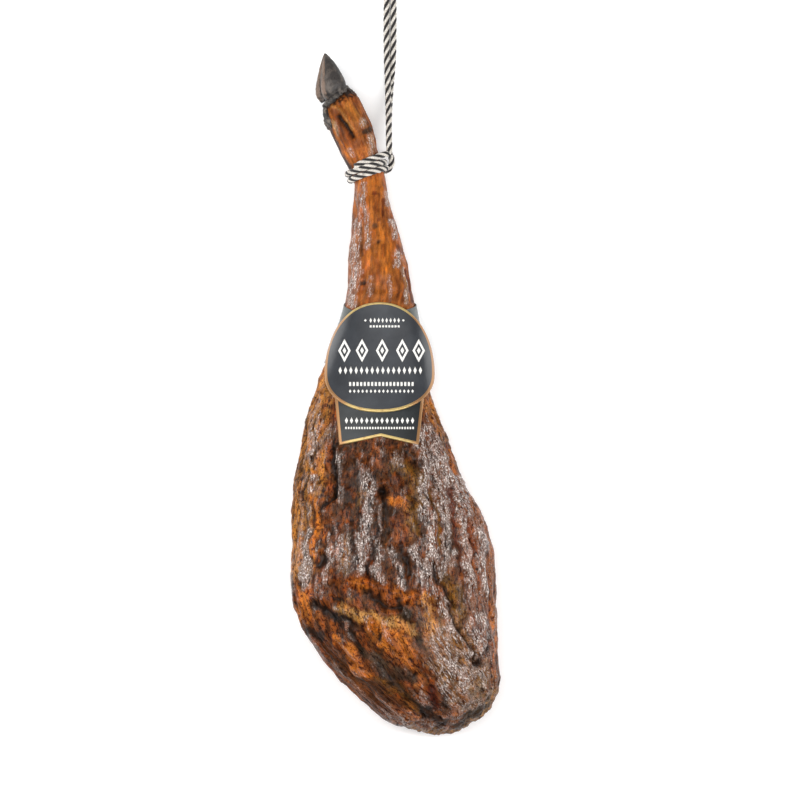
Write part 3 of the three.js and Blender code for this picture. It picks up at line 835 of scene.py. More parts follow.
STROKES = (
    # Shank
    Mark(((-28, 245), (-26, 200), (-24, 160)), 14, Tint.FLAME, 0.4),
    Mark(((-12, 178), (-8, 150)), 12, Tint.FLAME, 0.4),
    Mark(((-22, 236), (-24, 222)), 5, Tint.WINE, 0.5),
    Mark(((-25, 240),), 4, Tint.WINE, 0.8, -0.5),
    Mark(((-21, 208),), 3.4, Tint.WINE, 0.7),
    Mark(((-25, 200),), 4.4, Tint.SMOKE, 0.8, -0.6),
    Mark(((-20, 181),), 3, Tint.CHAR, 0.95, -0.8),
    Mark(((-14, 176), (-14, 168)), 4, Tint.RUST, 0.6),
    Mark(((-40, 132),), 3.6, Tint.CHAR, 0.9, -1.0),
    # Raised ridges on the shank that carry gloss and the painted silvery highlight
    Mark(((-46, 246), (-45, 228), (-42, 214)), 2.6, lift=1.2, bloom_and_highlight=0.45),
    Mark(((-38, 252), (-39, 230), (-35, 216), (-33, 200), (-33, 176)), 3.2, lift=1.6, bloom_and_highlight=1.0),
    Mark(((-45, 206), (-47, 186), (-48, 160), (-45, 146), (-50, 131), (-52, 108)), 5.5, lift=1.6, bloom_and_highlight=1.0),
    Mark(((-40, 200), (-40, 166)), 2.2, Tint.CHESTNUT, 0.8, -1.8),
    Mark(((-30, 140), (-31, 118)), 3, lift=0.8, bloom_and_highlight=0.4),
    Mark(((-12, 240), (-9, 228)), 3.2, lift=1.2, bloom_and_highlight=0.75),
    Mark(((-14, 232), (-16, 214)), 1.8, Tint.WINE, 0.8, -1.2),
    Mark(((-5, 208), (-3, 198), (-1, 186)), 3, lift=1.2, bloom_and_highlight=0.95),
    Mark(((3, 169), (3, 154)), 4.6, lift=1.0, bloom_and_highlight=1.0),
    Mark(((2, 176), (8, 168)), 2.6, Tint.WINE, 0.7, -1.0),
    Mark(((9, 150), (12, 131), (14, 108)), 2.4, Tint.TAN, 0.5, 1.4, 0.7),
    Mark(((12, 148), (17, 126), (20, 108)), 1.8, Tint.WINE, 0.85, -1.8),
    Mark(((2, 138), (4, 112)), 3, Tint.RUST, 0.8, -0.8),
    Mark(((-8, 140), (-6, 112)), 2.4, lift=0.8, bloom_and_highlight=0.4),
    # Foot
    Mark(((-72, 336), (-62, 318), (-48, 298)), 6, Tint.WINE, 0.55, -0.8),
    Mark(((-74, 344), (-64, 336), (-52, 318)), 2, Tint.TAN, 0.6, 1.2),
    # The foot's cleft: sunk, with painted shade in it
    Mark(((-68, 332), (-60, 322), (-51, 308)), 3.4, Tint.CHAR, 0.97, -5.5, ragged=0.15),
    Mark(((-60, 308), (-58, 300)), 6, Tint.RUST, 0.8, 0.5),
    Mark(((-75, 325), (-69, 312)), 3.4, Tint.TAN, 0.8, 1.0, 0.3),
    # Painted highlight: a pale tan spot with sheen on the foot
    Mark(((-40, 324),), 5, Tint.TAN, 0.6, 1.4, 0.8),
    Mark(((-38, 314), (-30, 317)), 3.6, Tint.SMOKE, 0.85, -1.8),
    # Painted highlight: a pale tan streak with sheen on the foot
    Mark(((-30, 307), (-28, 288)), 4, Tint.TAN, 0.4, 1.2, 0.8),
    Mark(((-46, 300), (-40, 288)), 6, Tint.RUST, 0.5),
    Mark(((-54, 292), (-52, 286)), 3, lift=0.8, bloom_and_highlight=0.7),
    Mark(((-58, 346), (-44, 326)), 5, Tint.HONEY, 0.6),
    Mark(((-82, 322), (-75, 302), (-66, 286), (-56, 268)), 3.6, Tint.CHAR, 0.92, 0.6),
    Mark(((-38, 346), (-22, 320), (-9, 296), (-9, 272)), 2.4, Tint.SMOKE, 0.85),
    # Left fat strip
    Mark(((-72, -58), (-72, -100), (-75, -124)), 4, Tint.CHAR, 0.96, -4.0),
    Mark(((-75, -122), (-85, -142), (-89, -158), (-92, -182)), 3, Tint.CHAR, 0.92, -3.6),
    Mark(((-95, -122), (-91, -140), (-91, -160), (-97, -192)), 5, Tint.FLAME, 0.95, 2.4),
    Mark(((-90, -30), (-94, -50), (-96, -68)), 5.5, lift=1.8, bloom_and_highlight=0.7),
    Mark(((-100, -70), (-98, -86)), 5, lift=1.8, bloom_and_highlight=0.55),
    Mark(((-92, -30), (-94, -64), (-98, -90)), 1.8, Tint.CHAR, 0.75, -2.2),
    Mark(((-108, -50), (-112, -90), (-110, -140)), 1.8, Tint.CHAR, 0.75, -2.0),
    Mark(((-104, -96), (-107, -130), (-106, -160)), 2.0, Tint.CHAR, 0.75, -2.2),
    Mark(((-116, -100), (-119, -150), (-118, -200)), 1.8, Tint.BARK, 0.75, -1.6),
    Mark(((-96, -102), (-98, -112)), 4, lift=1.4, bloom_and_highlight=0.8),
    Mark(((-104, -132), (-106, -146)), 3.4, lift=1.4, bloom_and_highlight=0.7),
    Mark(((-104, -166), (-106, -200), (-108, -232)), 5.5, Tint.SMOKE, 0.7, 1.2, 0.75),
    Mark(((-86, -196), (-88, -210)), 5, Tint.CHAR, 0.92, -2.6),
    Mark(((-80, -186), (-78, -206), (-80, -222)), 3.6, lift=1.8, bloom_and_highlight=0.75),
    Mark(((-78, -60), (-80, -90)), 4.6, Tint.RUST, 0.8, 1.5),
    Mark(((-66, -70), (-65, -100), (-68, -130)), 4, Tint.SMOKE, 0.5, 0.8, 0.3),
    # Middle
    Mark(((-12, -120), (-10, -150), (-12, -176)), 5, Tint.BARK, 0.85, -1.8),
    Mark(((-6, -128), (14, -134)), 7, Tint.FLAME, 0.85, 0.8),
    Mark(((0, -84), (22, -100), (24, -140), (18, -160)), 11, Tint.OLIVE, 0.75, 0.5),
    Mark(((2, -150), (6, -176)), 8, Tint.RUST, 0.7),
    Mark(((-40, -84), (-24, -80)), 9, Tint.RUST, 0.4),
    Mark(((-40, -118), (-44, -130)), 6, Tint.OLIVE, 0.6),
    Mark(((-32, -106), (-30, -128), (-36, -160), (-41, -206)), 6.5, lift=2.6, bloom_and_highlight=0.9),
    Mark(((30, -50), (34, -83), (33, -110), (31, -125), (37, -151), (46, -200)), 6.5, lift=2.8, bloom_and_highlight=1.0),
    Mark(((20, -66), (24, -100), (20, -140)), 2.4, Tint.BARK, 0.6, -1.8),
    Mark(((40, -46), (54, -76), (70, -112), (80, -140)), 10, Tint.ROSE, 0.3, 1.4, 0.7),
    Mark(((44, -80), (54, -110), (60, -142)), 9, lift=1.0, bloom_and_highlight=0.7),
    Mark(((70, -100), (80, -124), (84, -150)), 6, lift=1.2, bloom_and_highlight=0.7),
    Mark(((44, -114), (46, -140), (54, -180)), 2.6, Tint.OLIVE, 0.85, -2.4),
    Mark(((62, -60), (74, -96), (90, -136)), 2, Tint.WINE, 0.8, -1.8),
    Mark(((66, -110), (70, -150), (78, -206)), 2.8, Tint.WINE, 0.8, -2.4),
    Mark(((60, -150), (62, -180), (60, -214)), 6, Tint.SMOKE, 0.5, 1.4, 0.6),
    Mark(((88, -150), (94, -190), (98, -230)), 3, Tint.RUST, 0.85, -2.2),
    Mark(((84, -160), (86, -190), (90, -226)), 5, lift=1.6, bloom_and_highlight=0.6),
    Mark(((100, -166), (105, -200), (108, -236)), 6, lift=1.8, bloom_and_highlight=0.7),
    Mark(((110, -190), (113, -240), (113, -280)), 2.6, Tint.WINE, 0.7, -1.6),
    Mark(((-20, -176), (-22, -204), (-14, -224)), 4, lift=2.2, bloom_and_highlight=0.75),
    Mark(((-2, -186), (0, -210), (8, -228)), 4, lift=2.2, bloom_and_highlight=0.85),
    Mark(((18, -180), (26, -206), (30, -226)), 5, lift=2.2, bloom_and_highlight=0.8),
    Mark(((-30, -180), (-30, -214)), 2.6, Tint.CHAR, 0.8, -2.4),
    Mark(((8, -176), (12, -214)), 2.6, Tint.CHAR, 0.8, -2.4),
    Mark(((-58, -176), (-62, -210)), 8, Tint.OLIVE, 0.5, 0.8, 0.3),
    Mark(((-50, -166), (-52, -190)), 2.6, Tint.CHAR, 0.7, -1.8),
    Mark(((-66, -174), (-68, -200)), 4, lift=1.6, bloom_and_highlight=0.65),
    Mark(((-16, -118), (-13, -134)), 5.0, Tint.BARK, 0.8, -0.5, ragged=0.1),
    # The small hole: sunk, with its inside painted near-black as shade
    Mark(((-16, -116),), 6.2, Tint.CHAR, 1.0, -9.0, ragged=0.0),
    # Lower part: the fold across, its lip above and the hollows below
    Mark(((-110, -240), (-105, -262)), 13, Tint.FLAME, 0.92, 1.5),
    Mark(((-92, -256), (-76, -262), (-58, -270)), 8, Tint.CHAR, 0.92, -2.0),
    Mark(((-104, -282), (-92, -290)), 7, Tint.CHAR, 0.9, -1.2),
    Mark(((-66, -280), (-72, -292)), 9, Tint.CHAR, 0.6, -0.8),
    Mark(((-52, -228), (-34, -230), (-15, -237), (27, -241)), 10, Tint.RUST, 0.85, 3.4),
    Mark(((-46, -226), (-38, -232)), 8, Tint.FLAME, 0.6, 1.5),
    Mark(((2, -236), (14, -240)), 8, Tint.FLAME, 0.5, 1.0),
    Mark(((-80, -237), (-54, -250), (-33, -259), (-8, -266), (20, -275)), 2.4, Tint.CHAR, 0.85, -2.6),
    Mark(((-62, -254), (-36, -264), (-12, -272), (18, -283)), 10, Tint.TAN, 0.8, 2.2),
    Mark(((-30, -239), (-7, -254), (7, -254)), 4, Tint.CHAR, 0.85, -3.4),
    Mark(((14, -262),), 9.5, Tint.SMOKE, 0.92, 3.2, ragged=0.12),
    Mark(((38, -240), (42, -262), (46, -290)), 7.5, Tint.HONEY, 0.85, 1.0),
    Mark(((-30, -280), (-14, -288), (4, -298), (14, -308)), 13, Tint.FLAME, 0.85, 1.2),
    Mark(((-19, -288),), 6, Tint.CHAR, 0.95, -3.2),
    Mark(((31, -292), (35, -300)), 7, Tint.SMOKE, 0.9, -1.6),
    Mark(((-52, -276), (-46, -300), (-42, -315)), 5, Tint.CHAR, 0.8, -2.6),
    Mark(((-42, -308), (-16, -322), (0, -334), (26, -338)), 9, Tint.SMOKE, 0.8, -1.8),
    Mark(((-72, -290), (-56, -305), (-47, -320), (-34, -336)), 6, Tint.FLAME, 0.8, 2.4),
    Mark(((-84, -296), (-66, -316), (-50, -336), (-28, -356)), 5, Tint.BARK, 0.6, -1.4),
    Mark(((14, -316), (22, -330), (30, -344)), 7, Tint.AMBER, 0.6, 0.8),
    Mark(((-20, -340), (4, -352), (24, -370)), 8, Tint.OLIVE, 0.5, 1.0),
    Mark(((-8, -344), (10, -352), (26, -366), (33, -384)), 4, Tint.CHAR, 0.7, -2.0),
    Mark(((6, -374), (24, -386)), 7, Tint.AMBER, 0.55, 0.8),
    # Right lower ridge and its grooves: the ridge's pale rose tint and sheen are painted highlight, the
    # grooves' near-black is painted shade
    Mark(
        ((39, -200), (43, -231), (53, -248), (62, -268), (74, -292), (88, -312)),
        6, Tint.ROSE, 0.35, 6.5, 0.85,
    ),
    Mark(((50, -288), (62, -312), (82, -340)), 9, Tint.ROSE, 0.35, 3.5, 1.0),
    Mark(((48, -200), (55, -226), (70, -250)), 3.4, Tint.CHAR, 0.85, -6.0),
    Mark(((64, -252), (78, -284), (90, -308), (97, -322)), 3.6, Tint.CHAR, 0.85, -6.0),
    Mark(((60, -216), (70, -236), (78, -256)), 8, Tint.OLIVE, 0.7, 1.0),
    Mark(((82, -262), (80, -276)), 4, Tint.CHAR, 0.6, -1.5),
    Mark(((112, -282), (107, -306), (98, -322)), 3, Tint.CHAR, 0.85, -3.6),
    Mark(((92, -270), (98, -292), (100, -306)), 7, Tint.ROSE, 0.5, 2.2, 0.5),
    Mark(((64, -330), (56, -350), (62, -362)), 5, lift=1.0, bloom_and_highlight=0.6),
    Mark(((100, -266), (108, -280), (102, -296)), 7, lift=1.6, bloom_and_highlight=0.65),
    Mark(((96, -330), (106, -340)), 7, lift=1.0, bloom_and_highlight=0.5),
    Mark(((19, -334),), 6, Tint.CHAR, 0.95, -2.0),
    Mark(((76, -350), (84, -362)), 12, Tint.RUST, 0.45, 1.5, 0.2),
    Mark(((43, -352), (46, -366), (47, -374)), 7, Tint.WINE, 0.9, -4.0, ragged=0.15),
    Mark(((34, -350), (36, -366), (42, -380)), 2.6, Tint.ROSE, 0.5, 2.0, 0.5),
    Mark(((56, -364), (60, -380)), 4, Tint.CHAR, 0.6, -1.6, 0.3),
    Mark(((32, -372), (44, -386), (60, -392)), 7, Tint.CHAR, 0.85, -1.4),
    Mark(((76, -396), (96, -386), (116, -368)), 7, Tint.SMOKE, 0.8, -0.8),
    # Rims
    Mark(((-112, -288), (-84, -322), (-46, -364), (-14, -390), (20, -402)), 4, Tint.ROSE, 0.5, 0.4),
    Mark(((20, -402), (50, -408), (80, -405), (108, -386), (122, -360)), 5, Tint.TAN, 0.6, 0.4),
    Mark(((119, -340), (118, -260), (116, -200), (100, -146), (80, -110), (66, -70)), 4, Tint.AMBER, 0.7),
)


class Canvas:
    """The leg's surface while its wrinkles, folds and colours are laid on it.

    Attributes:
        points: Places on the leg.
        show: How much each place faces the show side.
        butt: 0 along the shank and 1 from the papers down.
        plan: The places in plan, bent at random.
        bent: Coordinates that follow the leg, bent in the same way.
        colour: The colour of each place.
        lift: How far each place is raised.
        bloom_and_highlight: How much gloss and silvery painted highlight each place carries.
    """

    CRISP = 0.2  # marks less ragged than this lie exactly where they are drawn

    def __init__(self, points: np.ndarray, normals: np.ndarray, flow: np.ndarray) -> None:
        """Prepare the surface with its ground colour and wrinkles.

        Args:
            points: Places on the leg.
            normals: The outward direction at each.
            flow: Coordinates that follow the leg.
        """
        self.points = points
        self.show = ease(normals[:, 2], -0.25, 0.2)
        self.butt = ease(points[:, 1], 130, -20)
        seeds = (Pattern.BEND_ACROSS, Pattern.BEND_ALONG)
        bend = np.column_stack([lumps(points, 24, 3, seed) for seed in seeds])
        self.plan = points[:, :2] + (1.2 + 3.6 * self.butt)[:, None] * bend
        self.bent = flow + np.column_stack([bend * (1 + 2 * self.butt)[:, None], np.zeros(len(points))])
        self.colour = self.ground()
        self.lift, self.bloom_and_highlight = self.wrinkles()

    def ground(self) -> np.ndarray:
        """Mix the mottled ground colour.

        Returns:
            One colour for each place.
        """
        broad = lumps(self.points, (22, 38, 22), 4, Pattern.BROAD_TINT)[:, None]
        small = lumps(self.points, (7, 11, 7), 3, Pattern.SMALL_TINT)[:, None]
        upper = mix(Tint.CHESTNUT.value, Tint.RUST.value, ease(small, -0.2, 0.6))
        upper = mix(upper, Tint.BARK.value, ease(broad, 0.05, 0.6) * 0.8)
        under = mix(Tint.FAT.value, Tint.AMBER.value, ease(broad, -0.3, 0.5))
        under = mix(under, Tint.CHESTNUT.value, ease(small, 0.1, 0.8) * 0.7)
        return mix(under, upper, self.show[:, None])

    def wrinkles(self) -> tuple[np.ndarray, np.ndarray]:
        """Raise random wrinkles and darken the cracks between them.

        Returns:
            The height, and the gloss and painted highlight, at each place.
        """
        cord = lumps(self.bent, (9, 44, 9), 3, Pattern.CORD)
        pucker = lumps(self.bent, (5, 15, 5), 3, Pattern.PUCKER)
        swell = lumps(self.points, 34, 2, Pattern.SWELL)
        rough = 0.3 + 0.7 * self.show
        crack = np.exp(-((lumps(self.bent, (11, 52, 11), 2, Pattern.CRACK) / 0.07) ** 2))
        cracked = ease(lumps(self.points, 30, 2, Pattern.CRACK_PATCH), -0.1, 0.4)
        crack *= cracked * rough * (0.35 + 0.65 * self.butt)
        lift = (2.1 * cord * rough + 0.45 * pucker) * (0.45 + 0.55 * self.butt) + 1.2 * swell
        self.tone(Tint.CHAR, 0.75 * crack)
        # Raised cords start with a little gloss and painted highlight
        return lift - 1.9 * crack, 0.3 * ease(cord, 0.25, 0.75) * self.show * self.butt

    def tone(self, tint: Tint, share: np.ndarray) -> None:
        """Lay a colour over the surface, as much of it at each place as the share says."""
        self.colour = mix(self.colour, tint.value, share[:, None])

    def draw(self, marks: Sequence[Mark]) -> None:
        """Draw marks, one over the other; sunk marks lose their gloss and painted highlight.

        Args:
            marks: The marks, lowest first.
        """
        edge = lumps(self.points, 7, 3, Pattern.MARK_EDGE)
        for mark in marks:
            plan = self.points[:, :2] if mark.ragged < self.CRISP else self.plan
            reach = mark.reach(plan) + mark.ragged * edge
            body = ease(reach, 1.15, 0.45) * self.show
            # Sunk marks carry dark tints: the skin's own dark cracks, and painted shade in the deeper
            # grooves, the foot's cleft and the hole
            if mark.tint is not None:
                self.tone(mark.tint, mark.cover * body)
            self.lift += mark.lift * np.exp(-np.maximum(reach, 0) ** 2 * 1.4) * self.show
            # Gloss and painted silvery highlight along the mark
            self.bloom_and_highlight += mark.bloom_and_highlight * ease(reach, 1.5, 0.3) * self.show
            if mark.lift < 0:
                self.bloom_and_highlight *= 1 - 0.9 * body

    def fleck(self) -> None:
        """Scatter rust-coloured flecks."""
        self.tone(Tint.RUST, 0.55 * ease(lumps(self.points, (5, 7, 5), 3, Pattern.FLECK), 0.15, 0.65))

    def vary(self) -> None:
        """Make the colour darker, lighter and redder from place to place, in long streaks."""
        shade = lumps(self.bent, (6, 22, 6), 4, Pattern.STREAK_SHADE)
        patch = lumps(self.points, (13, 19, 13), 3, Pattern.PATCH_SHADE)
        red = ease(lumps(self.bent, (9, 30, 9), 3, Pattern.REDNESS), 0.1, 0.7)
        self.colour[:, :3] *= np.exp(0.5 * shade + 0.22 * patch)[:, None]
        self.colour[:, 1] *= 1 - 0.14 * red
        self.colour[:, 2] *= 1 - 0.16 * red

    def char(self, middle: Plan, tilt: float) -> None:
        """Blacken the bristly band next to the hoof.

        Args:
            middle: Where the hoof begins, in plan.
            tilt: How far the foot leans to the left, in degrees.
        """
        turn = math.radians(tilt)
        ahead = (self.points[:, :2] - np.array(middle)) @ np.array([-math.sin(turn), math.cos(turn)])
        speckle = lumps(self.points, 3.2, 3, Pattern.BRISTLE)
        band = ease(ahead + 4.5 * speckle, -13, -5)
        self.tone(Tint.CHAR, 0.95 * band)
        self.lift += 1.3 * speckle * band
        self.bloom_and_highlight *= 1 - band


@dataclass(frozen=True)
class HamLeg:
    """The cured leg: its CAD solid made fine, sculpted and coloured.

    Attributes:
        skin: Its finish.
        spacing, smoothing: How far its vertices stand apart, and how often they are relaxed.
        collar_edge: Where the collar begins, along the leg.
        paper_span, paper_sides: What the papers cover, along and across the leg.
        hitch_span: What the rope covers, along the leg.
        coronet, coronet_tilt: Where the hoof begins, and the foot's lean in degrees.
        butt_width: The leg's width at the butt.
        sides: Stations along the leg, with its left and right side at each.
    """

    skin: SkinFinish
    spacing: float = 2.02
    smoothing: int = 6
    collar_edge: Plan = (30.0, 38.0)
    paper_span: Plan = (-66.0, 121.0)
    paper_sides: Plan = (-78.0, 40.0)
    hitch_span: Plan = (249.0, 290.0)
    coronet: Plan = (-73.0, 356.0)
    coronet_tilt: float = 28.0
    butt_width: float = 240.0
    sides: tuple[tuple[float, float, float], ...] = (
        (-409, 10, 60), (-380, -22, 108), (-340, -68, 124), (-290, -108, 120), (-240, -124, 120),
        (-130, -122, 102), (-60, -116, 68), (0, -104, 46), (60, -84, 34), (120, -62, 24),
        (200, -54, 2), (262, -52, -12), (300, -72, -14), (355, -92, -48),
    )

    def build(self) -> Piece:
        """Make the leg and hide the CAD node that it stands for.

        Returns:
            The leg.
        """
        mesh = self.fine_mesh()
        self.sculpt(mesh)
        leg = new_piece("leg_skin", mesh, self.skin.material())
        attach(leg, BODY)
        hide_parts("ham_leg")
        return leg

    def fine_mesh(self) -> Mesh:
        """Make the leg's solid as small even faces.

        Returns:
            The mesh.
        """
        helper = new_piece("leg_remesh", rounded_copy("ham_leg", 2))
        remesh = helper.modifiers.new("even", "REMESH")
        remesh.mode = "VOXEL"
        remesh.voxel_size = self.spacing * MM
        relax = helper.modifiers.new("relax", "SMOOTH")
        relax.iterations = self.smoothing
        mesh = baked_mesh(helper)
        drop(helper)
        return mesh

    def flow(self, points: np.ndarray) -> np.ndarray:
        """Give coordinates whose long direction fans out with the leg's two sides.

        Args:
            points: Places on the leg.

        Returns:
            The coordinates, in millimetres.
        """
        y, left, right = np.array(self.sides, dtype=float).T
        start = np.interp(points[:, 1], y, left)
        wide = np.interp(points[:, 1], y, right) - start
        across = (points[:, 0] - start) / wide * self.butt_width * (wide / self.butt_width) ** 0.6
        return np.column_stack([across, points[:, 1], points[:, 2]])

    def guard(self, points: np.ndarray, normals: np.ndarray) -> np.ndarray:
        """Find how free each place is from paper and rope, 0 where they lie on the skin.

        Args:
            points: Places on the leg.
            normals: The outward direction at each.

        Returns:
            One share for each place.
        """
        x, y, _ = points.T
        low, high = self.paper_span
        collar = ease(y, *self.collar_edge) * ease(y, high + 3, high - 2)
        front = ease(y, low - 3, low + 3) * ease(y, high + 3, high - 2)
        front *= ease(x, self.paper_sides[0] - 4, self.paper_sides[0] + 2)
        front *= ease(x, self.paper_sides[1] + 4, self.paper_sides[1] - 2) * ease(normals[:, 2], -0.1, 0.1)
        hitch = ease(y, self.hitch_span[0] - 4, self.hitch_span[0] + 3)
        hitch *= ease(y, self.hitch_span[1] + 5, self.hitch_span[1] - 2)
        return 1 - np.maximum(np.maximum(collar, front), hitch)

    def sculpt(self, mesh: Mesh) -> None:
        """Raise the folds and wrinkles, and store the colours that go with them.

        Args:
            mesh: The leg's fine mesh, which is changed.
        """
        points = mesh_points(mesh)
        normals = mesh_normals(mesh)
        flow = self.flow(points)
        canvas = Canvas(points, normals, flow)
        canvas.draw(REGIONS)
        canvas.fleck()
        canvas.draw(STROKES)
        canvas.vary()
        canvas.char(self.coronet, self.coronet_tilt)
        free, lift = self.guard(points, normals), canvas.lift
        lift = np.where(free < 1, np.minimum(lift * free, 0.2 + lift * free), lift)
        floor = ease(points[:, 2], 0.6, 6.0)
        moved = points + normals * (lift * floor)[:, None]
        moved[:, 2] = np.maximum(moved[:, 2], 0.0)
        move_points(mesh, moved)
        sheen = lumps(points, 16, 2, Pattern.SHEEN)
        gloss = np.clip(0.55 + 0.35 * sheen + 0.3 * canvas.bloom_and_highlight, 0, 1) * (0.45 + 0.55 * canvas.show)
        store(mesh, "tint", canvas.colour)
        store(mesh, "flow", flow * MM)
        # Where the skin is glossiest; the skin paints its silvery highlight there too
        store(mesh, "bloom_and_highlight", np.clip(canvas.bloom_and_highlight, 0, 1))
        store(mesh, "gloss", gloss)
        store(mesh, "rough", 0.3 + 0.7 * np.maximum(canvas.butt, 1 - canvas.show))


# ---- The hoof ----
ClawRib = tuple[float, float, float, float, float, float]


@dataclass(frozen=True)
class Claw:
    """One claw of the hoof.

    Attributes:
        node: The CAD node that it stands for.
        ribs: From the root to the tip, the sole side's and the dorsal side's place in plan, then
            the heights of its under and upper faces.
        flat_side: -1 where the flat side that faces the other claw is the under one, else 1.
    """

    node: str
    ribs: tuple[ClawRib, ...]
    flat_side: int


NEAR_CLAW = Claw(
    "outer_claw",
    (
        (-84, 351, -59.5, 366, 29.4, 48.5),
        (-88.6, 359, -59.6, 372, 29.2, 51.0),
        (-90.4, 371, -61.8, 378.5, 29.2, 51.2),
        (-90.0, 385, -66.2, 386.5, 29.4, 48.6),
        (-88.6, 396.5, -72.6, 397, 29.8, 43.4),
        (-87.2, 404.6, -79.2, 404.6, 30.6, 38.4),
        (-86.0, 409, -83.6, 408.8, 31.6, 34.8),
    ),
    -1,
)
FAR_CLAW = Claw(
    "inner_claw",
    (
        (-89.5, 349, -67, 364, 9.5, 28.2),
        (-95.6, 357, -67.5, 370, 7.2, 28.4),
        (-97.0, 366, -69.5, 376.5, 7.0, 28.4),
        (-94.4, 382, -74, 386, 9.4, 28.2),
        (-91.4, 395, -79.6, 396, 14.6, 28.0),
        (-89.2, 402.6, -83.4, 402.4, 20.0, 27.4),
        (-87.4, 407, -85.4, 406.8, 23.6, 26.6),
    ),
    1,
)


@dataclass(frozen=True)
class Hoof:
    """The two claws, the two dewclaws and the granular band at the claws' root."""

    horn: HornFinish
    claws: tuple[Claw, ...] = (NEAR_CLAW, FAR_CLAW)
    claw_segments: int = 64
    claw_steps: int = 9
    claw_rings: float = 62.0
    claw_bulge: float = 0.62
    dewclaw_share: Place = (0.62, 0.62, 0.9)
    band_middle: Place = (-71.5, 356.0, 29.0)
    band_reach: Plan = (17.6, 20.0)
    band_section: Plan = (1.82, 3.9)
    band_tilt: float = 42.0
    band_steps: tuple[int, int] = (96, 14)
    sole: Colour = paint(122, 102, 88)
    seam: Colour = paint(30, 27, 26)
    root: Colour = paint(34, 31, 29)
    dewclaw_tints: tuple[Colour, Colour] = (paint(44, 41, 39), paint(112, 102, 92))
    band_tints: tuple[Colour, Colour] = (paint(30, 28, 27), paint(104, 98, 90))

    def build(self) -> list[Piece]:
        """Make the horn pieces.

        Returns:
            The pieces.
        """
        material = self.horn.material()
        pieces = [self.make_claw(claw, material) for claw in self.claws]
        pieces += [self.dewclaw(node, material) for node in ("outer_dewclaw", "inner_dewclaw")]
        pieces.append(self.band(material))
        for piece in pieces:
            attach(piece, BODY)
        return pieces

    def make_claw(self, claw: Claw, material: Material) -> Piece:
        """Make one claw: a dark wall, the sole's pale edge and growth lines.

        Args:
            claw: Its sizes.
            material: The horn.

        Returns:
            The claw.
        """
        rows = curve_points(claw.ribs, self.claw_steps)
        turn = np.linspace(0, 2 * math.pi, self.claw_segments, endpoint=False)
        side = np.sign(np.cos(turn)) * np.abs(np.cos(turn)) ** 0.8
        out = np.sign(np.sin(turn)) * np.abs(np.sin(turn)) ** 0.85
        bulge = np.where(out * claw.flat_side < 0, self.claw_bulge, 1 - self.claw_bulge) * out
        waist = 1 - self.claw_bulge if claw.flat_side < 0 else self.claw_bulge
        rings = []
        for sole_x, sole_y, front_x, front_y, low, high in rows:
            middle = np.array([(sole_x + front_x) / 2, (sole_y + front_y) / 2])
            half = np.array([(front_x - sole_x) / 2, (front_y - sole_y) / 2])
            plan = middle + side[:, None] * half
            rings.append(np.column_stack([plan, low + (high - low) * (waist + bulge)]))
        count, last = self.claw_segments, (len(rows) - 1) * self.claw_segments
        points = np.vstack([*rings, rings[0].mean(axis=0), rings[-1].mean(axis=0)])
        faces = []
        for row in range(len(rows) - 1):
            faces += belt(row * count, (row + 1) * count, count)
        for tip, start in ((len(points) - 2, 0), (len(points) - 1, last)):
            faces += [(tip, start + i, start + (i + 1) % count) for i in range(count)]
        mesh = shape_mesh(claw.node + "_horn", points, faces)
        share = np.append(np.repeat(np.linspace(0, 1, len(rows)), count), [0, 1])
        reach = np.append(np.tile(side, len(rows)), [0, 0])
        self.wear_claw(mesh, points, share, reach)
        piece = new_piece(claw.node + "_horn", mesh, material)
        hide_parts(claw.node)
        return piece

    def wear_claw(self, mesh: Mesh, points: np.ndarray, share: np.ndarray, reach: np.ndarray) -> None:
        """Give a claw its growth lines, the seam beside the sole and its colours.

        Args:
            mesh: The claw's mesh, which is changed.
            points: Its places.
            share: How far each lies along the claw, 0 at the root and 1 at the tip.
            reach: How far each lies across it, -1 at the sole and 1 at the front.
        """
        edge = reach + 0.6 - 0.12 * share + 0.05 * lumps(points, 6, 2, Pattern.SOLE_EDGE)
        seam = np.exp(-((edge / 0.06) ** 2)) * ease(share, 1, 0.85) * ease(share, 0, 0.1)
        wander = 1.6 * lumps(points, 16, 2, Pattern.CLAW_RING)
        rings = np.sin(share * self.claw_rings + wander) * ease(share, 0.9, 0.2)
        lift = 0.12 * rings - 0.9 * seam + 0.22 * lumps(points, (3, 16, 3), 2, Pattern.CLAW_FIBRE)
        lift -= 0.5 * ease(edge, 0.0, -0.1) * ease(share, 1, 0.8)
        move_points(mesh, points + mesh_normals(mesh) * lift[:, None])
        tint = mix(self.horn.base, self.sole, ease(edge, 0.03, -0.05)[:, None])
        tint = mix(tint, self.seam, np.clip(seam * 1.4, 0, 1)[:, None])
        root = ease(share + 0.09 * lumps(points, 4, 3, Pattern.CLAW_ROOT), 0.16, 0.02)
        store(mesh, "tint", mix(tint, self.root, root[:, None]))

    def dewclaw(self, node: str, material: Material) -> Piece:
        """Make one dewclaw, rough and dark.

        Args:
            node: The CAD node that it stands for.
            material: The horn.

        Returns:
            The dewclaw.
        """
        mesh = rounded_copy(node, 2)
        points = mesh_points(mesh)
        top = points[points[:, 1].argmax()]
        points = top + (points - top) * np.array(self.dewclaw_share)
        points += mesh_normals(mesh) * (0.9 * lumps(points, (4, 8, 4), 3, Pattern.DEWCLAW_SHAPE))[:, None]
        move_points(mesh, points)
        pale = ease(lumps(points, 5, 3, Pattern.DEWCLAW_TINT), 0.0, 0.7)
        store(mesh, "tint", mix(*self.dewclaw_tints, pale[:, None]))
        piece = new_piece(node + "_horn", mesh, material)
        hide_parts(node)
        return piece

